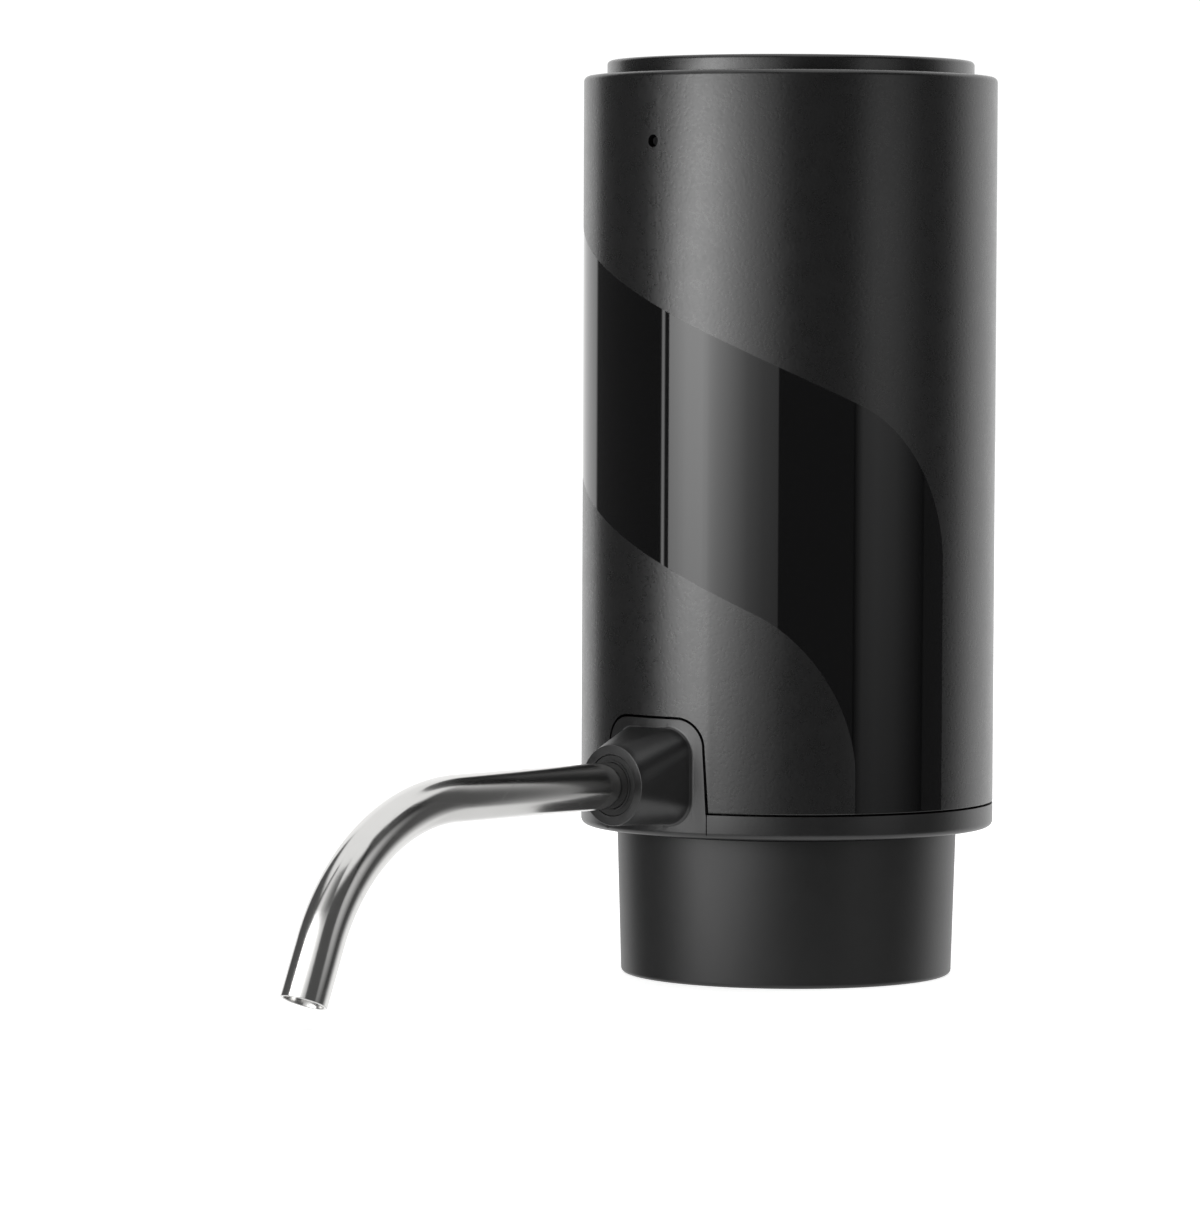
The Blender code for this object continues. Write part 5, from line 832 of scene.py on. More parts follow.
def upright():
    """Turns local +Z to the front (-Y) and local +Y up."""
    return Matrix.Rotation(math.radians(90), 4, "X")


def facing_front(height=0.0):
    return Matrix.Translation((0, 0, height)) @ upright()


def at(x, y):
    return Matrix.Translation((x, y, 0))


def on_circle(radius, angle):
    return at(radius * math.cos(angle), radius * math.sin(angle))


def round_box(half_x, half_y, corner, steps):
    """A rectangle with round corners around its middle, as points."""
    points = []
    for quarter, (sx, sy) in enumerate(((1, 1), (-1, 1), (-1, -1), (1, -1))):
        for k in range(steps + 1):
            a = math.radians(90) * (quarter + k / steps)
            x, y = corner * math.cos(a), corner * math.sin(a)
            points.append((sx * (half_x - corner) + x, sy * (half_y - corner) + y))
    return points


def plate_mesh(foot_z, grow, inner, outer):
    """A block with the spout plate's outline, grown by a gap, between two distances from the axis."""
    foot, top, corner = PLATE_HALF_FOOT + grow, PLATE_HALF_TOP + grow, PLATE_CORNER + grow
    crown = PLATE_TOP + grow
    steps = 3 * CORNER_STEPS
    right = [(foot, foot_z)]
    for k in range(steps + 1):
        a = math.radians(90) * k / steps
        right.append((top - corner + corner * math.cos(a), crown - corner + corner * math.sin(a)))
    return prism_mesh(right + [(-x, z) for x, z in reversed(right)], inner, outer, facing_front())


def snap_meshes(inner, outer, play):
    """The snaps that hold the shell on the spigot, with play around them."""
    half = SNAP_WIDTH / 2 + play
    return [
        box_mesh(
            (inner, -half, SPIGOT_TOP - 2 * SNAP_HEIGHT - play),
            (outer, half, SPIGOT_TOP - SNAP_HEIGHT + play),
            Matrix.Rotation(angle, 4, "Z"),
        )
        for angle in SNAP_ANGLES
    ]


def screw_holes(low, high):
    return [bore_mesh(SCREW_HOLE, low, high, on_circle(SCREW_CIRCLE, angle)) for angle in SCREW_ANGLES]


# Pieces that a path makes


def line_mesh(name, points, closed=False):
    """A line through points, and back to the first if it is closed."""
    count = len(points)
    edges = [(i, (i + 1) % count) for i in range(count if closed else count - 1)]
    mesh = bpy.data.meshes.new(name)
    mesh.from_pydata([tuple(point) for point in points], edges, [])
    return mesh


def grown(name, start, sizes, build, finish):
    """A mesh that a geometry node tree makes from a start mesh, with its sizes as named inputs."""
    tree = bpy.data.node_groups.new(f"{name}_tree", "GeometryNodeTree")
    tree.interface.new_socket("Start", in_out="INPUT", socket_type="NodeSocketGeometry")
    tree.interface.new_socket("Result", in_out="OUTPUT", socket_type="NodeSocketGeometry")
    for label, size in sizes.items():
        kind = "NodeSocketInt" if isinstance(size, int) else "NodeSocketFloat"
        tree.interface.new_socket(label, in_out="INPUT", socket_type=kind)
    maker = Maker(tree)
    first = maker.node("NodeGroupInput")
    given = {label: first.other(label) for label in ("Start", *sizes)}
    result = maker.node("GeometryNodeRealizeInstances", inputs={0: build(maker, given)})
    result = maker.node("GeometryNodeSetMaterial", inputs={0: result, "Material": finish})
    maker.node("NodeGroupOutput", inputs={0: result})
    piece = bpy.data.objects.new(name, start)
    bpy.context.scene.collection.objects.link(piece)
    step = piece.modifiers.new("grow", "NODES")
    step.node_group = tree
    for item in tree.interface.items_tree:
        if item.in_out == "INPUT" and item.name in sizes:
            step[item.identifier] = sizes[item.name]
    settle(piece)
    bpy.data.node_groups.remove(tree)
    turn_out(piece)
    return piece


def tube_tree(maker, given):
    """A round tube along the start line. Bend radius rounds its corners, and Solid closes the ends."""
    path = maker.node("GeometryNodeMeshToCurve", inputs={0: given["Start"]})
    if "Bend radius" in given:
        corners = {"Curve": path, "Count": given["Bend steps"], "Radius": given["Bend radius"]}
        path = maker.node("GeometryNodeFilletCurve", {"mode": "POLY"}, corners)
    ring = {"Resolution": given["Sides"], "Radius": given["Radius"]}
    profile = maker.node("GeometryNodeCurvePrimitiveCircle", {"mode": "RADIUS"}, ring)
    both = {"Curve": path, "Profile Curve": profile, "Fill Caps": "Solid" in given}
    return maker.node("GeometryNodeCurveToMesh", inputs=both)


def tube(name, points, finish, radius, sides, **more):
    """A round tube along a line of points. More inputs go by their names, with _ for a space."""
    sizes = {"Radius": radius, "Sides": sides}
    sizes.update({label.replace("_", " "): value for label, value in more.items()})
    return grown(name, line_mesh(name, points), sizes, tube_tree, finish)


def hollow_out(piece, thickness):
    """Gives a tube a wall, inwards from its skin."""
    wall = piece.modifiers.new("wall", "SOLIDIFY")
    wall.thickness = thickness
    wall.offset = -1
    settle(piece)


def make_spout(finish):
    """The bent tube, with its wall and a broken edge at both ends."""
    start = Vector((0, TUBE_HIGH.y, SPOUT_Z))
    reach = TUBE_BEND_RADIUS * math.tan(TUBE_BEND / 2)
    corner = Vector((0, -(BARREL_RADIUS + TUBE_STRAIGHT + reach), SPOUT_Z))
    ahead = Vector((0, -math.cos(TUBE_BEND), -math.sin(TUBE_BEND)))
    points = [start, corner, corner + ahead * (reach + TUBE_TAIL)]
    spout = tube(
        "spout_tube_skin", points, finish, TUBE_RADIUS, TUBE_SIDES, Bend_radius=TUBE_BEND_RADIUS,
        Bend_steps=TUBE_BEND_STEPS,
    )
    hollow_out(spout, TUBE_WALL)
    rim = spout.modifiers.new("rim", "BEVEL")
    rim.width = TUBE_RIM
    rim.segments = 3
    rim.limit_method = "ANGLE"
    rim.angle_limit = math.radians(60)
    settle(spout)
    fit(spout, finish, "spout_steel", "spout_tube")


def make_hose(finish):
    low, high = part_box("air_hose")
    back, front = high.y - HOSE_RADIUS, low.y + HOSE_RADIUS
    level = (low.z + high.z) / 2
    hose = tube(
        "air_hose_skin", [(0, front, high.z), (0, front, level), (0, back, level), (0, back, low.z)], finish,
        HOSE_RADIUS, SMALL_SIDES, Bend_radius=(high.z - low.z) / 2 - HOSE_END, Bend_steps=2 * CORNER_STEPS,
    )
    hollow_out(hose, HOSE_RADIUS - HOSE_BORE)
    fit(hose, finish, "pale_silicone", "air_hose")


def make_leads(red, black):
    """Round insulated leads. Their routes are given for the red side and mirrored for the black one."""
    for node, side, route in LEADS:
        points = [Vector((side * x, y, z)) * MM for x, y, z in route]
        finish, slot = (red, "red_wire") if side > 0 else (black, "black_wire")
        lead = tube(
            f"{node}_skin", points, finish, LEAD_RADIUS, SMALL_SIDES // 2, Bend_radius=LEAD_BEND,
            Bend_steps=CORNER_STEPS, Solid=1,
        )
        fit(lead, finish, slot, node)


def make_gasket(finish):
    """The ring in the seam, open where the plate stands."""
    low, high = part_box("seam_gasket")
    gasket = turned("gasket_skin", [
        (BORE, low.z, EDGE), (high.x, low.z, EDGE), (high.x, high.z, EDGE), (BORE, high.z, EDGE),
    ])
    carve(gasket, "DIFFERENCE", plate_mesh(BASE_LOW.z, PLATE_GAP, BORE - OVERRUN, BARREL_RADIUS + OVERRUN))
    fit(gasket, finish, "dark_silicone", "seam_gasket")


def make_spring(finish):
    """The button's return spring: its end turns lie flat, the others climb evenly."""
    low, high = SPRING_LOW.z + SPRING_WIRE, SPRING_HIGH.z - SPRING_WIRE
    points = []
    for i in range(SPRING_TURNS * SPRING_STEPS + 1):
        turn = i / SPRING_STEPS
        climb = (turn - SPRING_CLOSED) / (SPRING_TURNS - 2 * SPRING_CLOSED)
        share = min(max(climb, 0), 1)
        share = share * share * (3 - 2 * share)
        a = math.tau * turn
        points.append((SPRING_RADIUS * math.cos(a), SPRING_RADIUS * math.sin(a), low + (high - low) * share))
    spring = tube("spring_coil", points, finish, SPRING_WIRE, SMALL_SIDES // 2, Solid=1)
    fit(spring, finish, "steel", "button_spring")
    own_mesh(spring)


def winding_tree(maker, given):
    """Layers of wire turns on each of three poles. The start line is the innermost turn."""
    turn = maker.node("GeometryNodeMeshToCurve", inputs={0: given["Start"]})
    ring = {"Resolution": given["Sides"], "Radius": given["Wire radius"]}
    profile = maker.node("GeometryNodeCurvePrimitiveCircle", {"mode": "RADIUS"}, ring)
    wire = maker.node("GeometryNodeCurveToMesh", inputs={"Curve": turn, "Profile Curve": profile})
    step = maker.node("ShaderNodeCombineXYZ", inputs={0: COIL_PITCH * given["Wire radius"]})
    layers = []
    for layer in range(COIL_LAYERS):
        shift = given["Near"] + given["Wire radius"] * (layer % 2)
        begin = maker.node("ShaderNodeCombineXYZ", inputs={0: shift})
        row = {"Count": given["Turns"] - layer % 2, "Start Location": begin, "Offset": step}
        line = maker.node("GeometryNodeMeshLine", {"mode": "OFFSET"}, row)
        growth = COIL_PITCH * layer * given["Wire radius"]
        wider, taller = (1 + growth / given[half] for half in ("Half width", "Half height"))
        size = maker.node("ShaderNodeCombineXYZ", inputs={0: 1.0, 1: wider, 2: taller})
        wires = {"Points": line, "Instance": wire, "Scale": size}
        layers.append(maker.node("GeometryNodeInstanceOnPoints", inputs=wires))
    coil = maker.node("GeometryNodeJoinGeometry", inputs={0: layers})
    poles = maker.node("GeometryNodeMeshLine", {"mode": "OFFSET"}, {"Count": 3, "Offset": (0, 0, 0)})
    third = maker.node("GeometryNodeInputIndex") * (math.tau / 3)
    angle = maker.node("ShaderNodeCombineXYZ", inputs={2: third})
    spread = {"Points": poles, "Instance": coil, "Rotation": angle}
    coils = maker.node("GeometryNodeInstanceOnPoints", inputs=spread)
    middle = maker.node("ShaderNodeCombineXYZ", inputs={1: given["Axis Y"], 2: given["Middle Z"]})
    return maker.node("GeometryNodeTransform", inputs={0: coils, "Translation": middle})


def make_winding(finish):
    """The rotor's three coils."""
    half_width = POLE_HALF_WIDTH + COIL_WIRE + GAP / 2
    half_height = (CORE_HIGH.z - CORE_LOW.z) / 2 + COIL_WIRE + GAP / 2
    points = [(0, y, z) for y, z in round_box(half_width, half_height, COIL_CORNER, 3)]
    sizes = {
        "Wire radius": COIL_WIRE, "Sides": 8, "Near": COIL_NEAR,
        "Turns": int((COIL_FAR - COIL_NEAR) / (COIL_PITCH * COIL_WIRE)),
        "Half width": half_width, "Half height": half_height, "Axis Y": ROTOR_Y,
        "Middle Z": (CORE_LOW.z + CORE_HIGH.z) / 2,
    }
    turn = line_mesh("winding_turns", points, closed=True)
    winding = grown("winding_turns", turn, sizes, winding_tree, finish)
    fit(winding, finish, "copper_wire", "rotor_winding")


# Pieces of the outside


def make_shell(finish):
    """The shell, with the plate's notch, the light's hole, the socket's slot and the snaps' pockets."""
    foot, top = BASE_RIM + SEAM, SHELL_HIGH.z
    shell = turned("shell_skin", [
        (GASKET_BORE, foot, 0),
        (BARREL_RADIUS, foot, EDGE),
        (BARREL_RADIUS, top, RIM_EDGE),
        (BORE, top, EDGE),
        (BORE, LEDGE_TOP, 0),
        (LEDGE_BORE, LEDGE_TOP, EDGE),
        (LEDGE_BORE, LEDGE_TOP - LEDGE_THICKNESS, EDGE),
        (BORE, LEDGE_TOP - LEDGE_THICKNESS, 0),
        (BORE, GASKET_TOP, EDGE),
        (GASKET_BORE, GASKET_TOP, 0),
    ])
    notch = plate_mesh(foot - OVERRUN, PLATE_GAP, SPIGOT_RADIUS - OVERRUN, BARREL_RADIUS + OVERRUN)
    hole = bore_mesh(LIGHT_HOLE, BORE, BARREL_RADIUS, facing_front(GUIDE_Z))
    half_x, half_z = SOCKET_HIGH.x + SLOT_GAP, (SOCKET_HIGH.z - SOCKET_LOW.z) / 2 + SLOT_GAP
    socket = round_box(half_x, half_z, half_z - MERGE, 2 * CORNER_STEPS)
    turn = facing_front((SOCKET_LOW.z + SOCKET_HIGH.z) / 2)
    slot = prism_mesh(socket, -BARREL_RADIUS - OVERRUN, -BORE + OVERRUN, turn)
    carve(shell, "DIFFERENCE", notch, hole, slot, *snap_meshes(BORE - OVERRUN, BORE + SNAP_DEPTH + GAP, GAP))
    fit(shell, finish, "shell_plastic", "shell")


def boss_loops():
    """The boss from inside the barrel to its round end. Its root follows the barrel's curve."""
    rows = [(-SHELL_WALL, 0, BOSS_FILLET)]
    for k in range(CORNER_STEPS + 1):
        a = math.radians(90) * k / CORNER_STEPS
        rows.append((BOSS_FILLET * (1 - math.cos(a)) - MERGE, 0, BOSS_FILLET * (1 - math.sin(a))))
    straight = BOSS_END - BARREL_RADIUS - BOSS_FILLET - BOSS_END_EDGE
    for k in range(1, BOSS_ROWS + 1):
        rows.append((BOSS_FILLET + straight * k / BOSS_ROWS, k / BOSS_ROWS, 0))
    for k in range(1, CORNER_STEPS + 1):
        a = math.radians(90) * k / CORNER_STEPS
        rise = BOSS_FILLET + straight + BOSS_END_EDGE * math.sin(a)
        rows.append((rise, 1, BOSS_END_EDGE * (math.cos(a) - 1)))
    loops = []
    for rise, share, grow in rows:
        half_x = BOSS_ROOT_WIDTH + (BOSS_END_RADIUS - BOSS_ROOT_WIDTH) * share + grow
        half_z = BOSS_ROOT_HEIGHT + (BOSS_END_RADIUS - BOSS_ROOT_HEIGHT) * share + grow
        corner = BOSS_ROOT_CORNER + (BOSS_END_RADIUS - BOSS_ROOT_CORNER) * share + grow - MERGE
        middle = SPOUT_Z + BOSS_ROOT_LIFT * (1 - share)
        loop = []
        for x, z in round_box(half_x, half_z, corner, BOSS_CORNER_STEPS):
            follow = (1 - share) * (BARREL_RADIUS - math.sqrt(BARREL_RADIUS**2 - x * x))
            loop.append((x, -(BARREL_RADIUS + rise - follow), middle + z))
        loops.append(loop)
    return loops


def make_base(finish):
    """Turned with a wall as high as the plate, which is then cut down to the rim and the spigot beside it."""
    spigot_bore = SPIGOT_RADIUS - SPIGOT_WALL
    above = PLATE_TOP + OVERRUN
    base = turned("base_skin", [
        (DECK_HOLE, BASE_LOW.z, EDGE),
        (BARREL_RADIUS, BASE_LOW.z, BASE_EDGE),
        (BARREL_RADIUS, above, 0),
        (spigot_bore, above, 0),
        (spigot_bore, DECK_TOP, 0),
        (DECK_HOLE, DECK_TOP, EDGE),
    ])
    beside = blank("beside", turned_mesh([
        (SPIGOT_RADIUS, BASE_RIM),
        (BARREL_RADIUS + OVERRUN, BASE_RIM),
        (BARREL_RADIUS + OVERRUN, above + OVERRUN),
        (spigot_bore - OVERRUN, above + OVERRUN),
        (spigot_bore - OVERRUN, SPIGOT_TOP),
        (SPIGOT_RADIUS, SPIGOT_TOP),
    ], BARREL_SIDES))
    carve(beside, "DIFFERENCE", plate_mesh(
        BASE_LOW.z + BASE_EDGE, 0, spigot_bore - 2 * OVERRUN, BARREL_RADIUS + 2 * OVERRUN,
    ))
    cutter = bmesh.new()
    cutter.from_mesh(beside.data)
    bpy.data.meshes.remove(beside.data)
    carve(base, "DIFFERENCE", cutter)
    snaps = snap_meshes(SPIGOT_RADIUS - SPIGOT_WALL / 2, SPIGOT_RADIUS + SNAP_DEPTH, 0)
    carve(base, "UNION", loft_mesh(boss_loops()), *snaps)
    seat = bore_mesh(SEAT_RADIUS, spigot_bore, BOSS_END, facing_front(SPOUT_Z), TUBE_SIDES)
    surface = math.sqrt(BARREL_RADIUS**2 - PLATE_HALF_FOOT**2)
    grooves = [
        box_mesh(
            (side * PLATE_HALF_FOOT - PLATE_GROOVE / 2, -BARREL_RADIUS, BASE_LOW.z + BASE_EDGE / 2),
            (side * PLATE_HALF_FOOT + PLATE_GROOVE / 2, PLATE_GROOVE - surface, BASE_RIM + OVERRUN),
        )
        for side in (-1, 1)
    ]
    carve(base, "DIFFERENCE", seat, *screw_holes(BASE_LOW.z, DECK_TOP), *grooves)
    fit(base, finish, "base_plastic", "base")


def make_collar(finish):
    """The collar, slightly tapered, with a roof that is screwed to the base."""
    top, roof = COLLAR_HIGH.z, COLLAR_HIGH.z - COLLAR_ROOF
    mouth, neck_hole = COLLAR_RADIUS - COLLAR_TAPER, STOPPER_NECK + GAP
    collar = turned("collar_skin", [
        (mouth - COLLAR_WALL, 0, 2 * EDGE),
        (mouth, 0, COLLAR_EDGE),
        (COLLAR_RADIUS, top, EDGE),
        (neck_hole, top, EDGE),
        (neck_hole, roof, EDGE),
        (COLLAR_RADIUS - COLLAR_WALL, roof, COLLAR_EDGE / 2),
    ])
    carve(collar, "DIFFERENCE", *screw_holes(roof, top))
    fit(collar, finish, "collar_plastic", "neck_collar")


def make_button(finish):
    """The button with its skirt, its stem over the switch and three hooks under the ledge."""
    radius, crown = BUTTON_HIGH.x, BUTTON_HIGH.z
    underside = crown - BUTTON_TOP
    skirt, inner = underside - BUTTON_SKIRT, radius - BUTTON_WALL
    button = turned("button_skin", [
        (0, crown - BUTTON_DISH, 0),
        (0, underside - STEM_LENGTH, 0),
        (STEM_RADIUS, underside - STEM_LENGTH, EDGE),
        (STEM_RADIUS, underside, EDGE),
        (inner, underside, EDGE),
        (inner, skirt, EDGE),
        (radius, skirt, EDGE),
        (radius, crown, BUTTON_EDGE),
        (radius - BUTTON_LAND, crown, BUTTON_DISH),
        (radius - BUTTON_LAND - 2 * BUTTON_DISH, crown - BUTTON_DISH, BUTTON_DISH),
    ])
    barb_top = LEDGE_TOP - LEDGE_THICKNESS - GAP
    leg = LEDGE_BORE - GAP
    profile = [
        (leg - HOOK_THICKNESS, underside + EDGE),
        (leg - HOOK_THICKNESS, barb_top - HOOK_BARB_HEIGHT),
        (leg, barb_top - HOOK_BARB_HEIGHT),
        (leg + HOOK_BARB, barb_top),
        (leg, barb_top),
        (leg, underside + EDGE),
    ]
    for angle in HOOK_ANGLES:
        turn = Matrix.Rotation(angle, 4, "Z") @ upright()
        carve(button, "UNION", prism_mesh(profile, -HOOK_HALF_WIDTH, HOOK_HALF_WIDTH, turn))
    fit(button, finish, "button_plastic", "top_button")


def make_seal(finish):
    """The sleeve around the tube, with a raised lip at its outer end."""
    bore, radius = TUBE_RADIUS + SEAL_SINK, SEAL_HIGH.x
    inner, outer = -SEAL_HIGH.y, BOSS_END - SEAL_SINK
    seal = turned("seal_skin", [
        (bore, inner, 0),
        (radius, inner, EDGE),
        (radius, outer, EDGE),
        (bore + SEAL_LIP, outer, SEAL_LIP / 4),
        (bore + SEAL_LIP, outer + SEAL_LIP, SEAL_LIP / 4),
        (bore, outer + SEAL_LIP, 0),
    ], TUBE_SIDES, facing_front(SPOUT_Z))
    fit(seal, finish, "dark_silicone", "spout_seal")


def make_stopper(finish):
    """The finned plug, with its flange, the neck through the collar and the bead that holds it."""
    bottom, bead_top = STOPPER_LOW.z, STOPPER_HIGH.z
    lip = bottom + STOPPER_PLUG
    flange = STOPPER_HIGH.x
    corners = [
        (0, bottom, 0),
        (STOPPER_CORE - STOPPER_CHAMFER, bottom, EDGE),
        (STOPPER_CORE, bottom + STOPPER_CHAMFER, EDGE),
    ]
    pitch = (STOPPER_PLUG - STOPPER_CHAMFER) / STOPPER_FINS
    for i in range(STOPPER_FINS):
        foot = bottom + STOPPER_CHAMFER + i * pitch
        corners += [
            (STOPPER_CORE, foot + pitch / 6, EDGE),
            (STOPPER_FIN, foot + pitch / 2, EDGE),
            (STOPPER_CORE, foot + pitch * 2 / 3, EDGE),
        ]
    corners += [
        (STOPPER_ROOT, lip - STOPPER_ROOT_HEIGHT, EDGE / 2),
        (STOPPER_ROOT, lip, 0),
        (flange, lip, 2 * EDGE),
        (flange, lip + STOPPER_FLANGE_DEPTH, 2 * EDGE),
        (STOPPER_NECK, lip + STOPPER_FLANGE_DEPTH, EDGE),
        (STOPPER_NECK, BASE_LOW.z, EDGE),
        (STOPPER_BEAD, BASE_LOW.z, 2 * EDGE),
        (STOPPER_BEAD, bead_top, 2 * EDGE),
        (0, bead_top, 0),
    ]
    stopper = turned("stopper_skin", corners, 2 * TUBE_SIDES)
    ways = ((INLET_RADIUS, INLET_Y), (AIR_HIGH.x, AIR_Y))
    holes = [bore_mesh(radius + GAP, bottom, bead_top, at(0, y)) for radius, y in ways]
    carve(stopper, "DIFFERENCE", *holes)
    fit(stopper, finish, "dark_silicone", "bottle_stopper")


def make_nipples(finish):
    """The barbed wine inlet and the plain air outlet beside it."""
    foot, top, barb = INLET_LOW.z, INLET_HIGH.z, INLET_HIGH.x
    corners = [(INLET_BORE, foot, NIPPLE_EDGE)]
    pitch = (INLET_REACH - GAP) / INLET_BARBS
    for i in range(INLET_BARBS):
        corners += [
            (INLET_RADIUS, foot + i * pitch, 0),
            (barb, foot + (i + 2 / 3) * pitch, NIPPLE_EDGE / 2),
            (INLET_RADIUS, foot + (i + 2 / 3) * pitch + GAP, 0),
        ]
    corners += [(INLET_RADIUS, top, NIPPLE_EDGE), (INLET_BORE, top, NIPPLE_EDGE)]
    inlet = turned("inlet_skin", corners, 2 * SMALL_SIDES, at(0, INLET_Y))
    fit(inlet, finish, "inner_plastic", "wine_nipple")
    air = turned("air_outlet_skin", [
        (AIR_BORE, AIR_LOW.z, NIPPLE_EDGE), (AIR_HIGH.x, AIR_LOW.z, 2 * NIPPLE_EDGE),
        (AIR_HIGH.x, AIR_HIGH.z, NIPPLE_EDGE), (AIR_BORE, AIR_HIGH.z, NIPPLE_EDGE),
    ], 2 * SMALL_SIDES, at(0, AIR_Y))
    fit(air, finish, "inner_plastic", "air_nipple")


def make_diaphragm(finish):
    """The pump's sheet with three hollow cups, and the studs that join the cups to the wobble plate.

    The studs go with the plate, and each moves freely in the eye of its cup.
    """
    low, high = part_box("diaphragm")
    axis = at(0, (low.y + high.y) / 2)
    places = [axis @ on_circle(CUP_CIRCLE, angle) for angle in CUP_ANGLES]
    top, below, ceiling = low.z + SHEET, low.z - OVERRUN, CUP_TOP - CUP_WALL
    sheet = turned("diaphragm_sheet", [
        (SHEET_EYE, low.z, EDGE), (high.x, low.z, EDGE), (high.x, top, EDGE), (SHEET_EYE, top, EDGE),
    ], 2 * TUBE_SIDES, axis)
    cup = rounded([
        (0, top - SHEET / 2, 0), (CUP_ROOT, top - SHEET / 2, 0), (CUP_CROWN, CUP_TOP, 4 * EDGE),
        (0, CUP_TOP, 0),
    ])
    hollow = rounded([
        (0, below, 0), (CUP_ROOT - CUP_WALL, below, 0), (CUP_ROOT - CUP_WALL, top, 0),
        (CUP_CROWN - CUP_WALL, ceiling, 2 * EDGE), (0, ceiling, 0),
    ])
    for operation, outline in (("UNION", cup), ("DIFFERENCE", hollow)):
        carve(sheet, operation, *(turned_mesh(outline, 2 * SMALL_SIDES, place) for place in places))
    eyes = [bore_mesh(CUP_EYE, ceiling, CUP_TOP, place) for place in places]
    for i in (1, 2, 3):
        corner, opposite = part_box(f"pump_screw_{i}")
        place = at((corner.x + opposite.x) / 2, (corner.y + opposite.y) / 2)
        eyes.append(bore_mesh(SHEET_SCREW_HOLE, low.z, top, place))
    carve(sheet, "DIFFERENCE", *eyes)
    fit(sheet, finish, "pale_silicone", "diaphragm")

    stud = rounded([
        (0, STUD_LOW, 0), (STUD_RADIUS, STUD_LOW, EDGE), (STUD_RADIUS, STUD_NECK, 0),
        (STUD_HEAD, STUD_NECK, EDGE), (STUD_RADIUS, STUD_TOP, EDGE), (0, STUD_TOP, 0),
    ])
    tilt = axis @ Matrix.Translation((0, 0, PIVOT_Z)) @ Matrix.Rotation(PLATE_TILT, 4, "X")
    studs = bmesh.new()
    for angle in CUP_ANGLES:
        one = blank("stud", turned_mesh(stud, SMALL_SIDES, tilt @ on_circle(CUP_CIRCLE, angle)))
        studs.from_mesh(one.data)
        bpy.data.meshes.remove(one.data)
    fit(blank("diaphragm_studs", studs), finish, "pale_silicone", "diaphragm", body="wobble")


# Studio


def make_camera():
    """The photograph's view. Its pose was fitted from the front, and is turned to the camera's side."""
    right = Vector((math.cos(CAMERA_PAN), -math.sin(CAMERA_PAN), 0))
    level = Vector((math.sin(CAMERA_PAN), math.cos(CAMERA_PAN), 0))
    ahead = level * math.cos(CAMERA_PITCH) - Vector((0, 0, math.sin(CAMERA_PITCH)))
    up = right.cross(ahead)
    side = right * math.cos(CAMERA_ROLL) + up * math.sin(CAMERA_ROLL)
    top = up * math.cos(CAMERA_ROLL) - right * math.sin(CAMERA_ROLL)
    turn = Matrix.Rotation(CAMERA_TURN, 3, "Z")
    axes = Matrix([turn @ side, turn @ top, turn @ -ahead]).transposed().to_4x4()
    camera = bpy.data.objects.new("camera", bpy.data.cameras.new("camera"))
    camera.data.sensor_fit = "HORIZONTAL"
    camera.data.sensor_width = SENSOR
    camera.data.lens = FOCAL_PIXELS / FRAME_WIDTH * SENSOR
    place = turn @ Vector((0, -CAMERA_DISTANCE, CAMERA_HEIGHT))
    camera.matrix_world = Matrix.Translation(place) @ axes
    camera.data.clip_start = 0.01
    camera.data.clip_end = 20
    bpy.context.scene.collection.objects.link(camera)
    bpy.context.scene.camera = camera


def make_floor():
    """White paper that glows a little. Reflections don't show it."""
    finish = Finish("floor_white", {
        "Roughness": 0.9, "Specular IOR Level": 0.0, "Emission Strength": FLOOR_LIGHT,
        "Emission Color": (1.0, 1.0, 1.0, 1.0),
    })
    paper = finish.noise(300, 3, 0.6)
    finish.shade({"Base Color": finish.tint(paper, (0.80, 0.80, 0.80), (0.82, 0.82, 0.82))})
    bm = bmesh.new()
    bmesh.ops.create_circle(bm, cap_ends=True, segments=FLOOR_SIDES, radius=FLOOR_RADIUS)
    floor = blank("floor", bm)
    floor.data.materials.append(finish.material)
    floor.visible_glossy = False


def bearing_of(maker, x, y):
    """The bearing of a direction or a place: degrees from the camera, positive to its right."""
    cos_turn, sin_turn = math.cos(CAMERA_TURN), math.sin(CAMERA_TURN)
    rightwards = x * cos_turn + y * sin_turn
    towards = x * sin_turn - y * cos_turn
    return maker.math("ARCTAN2", rightwards, towards) * math.degrees(1)


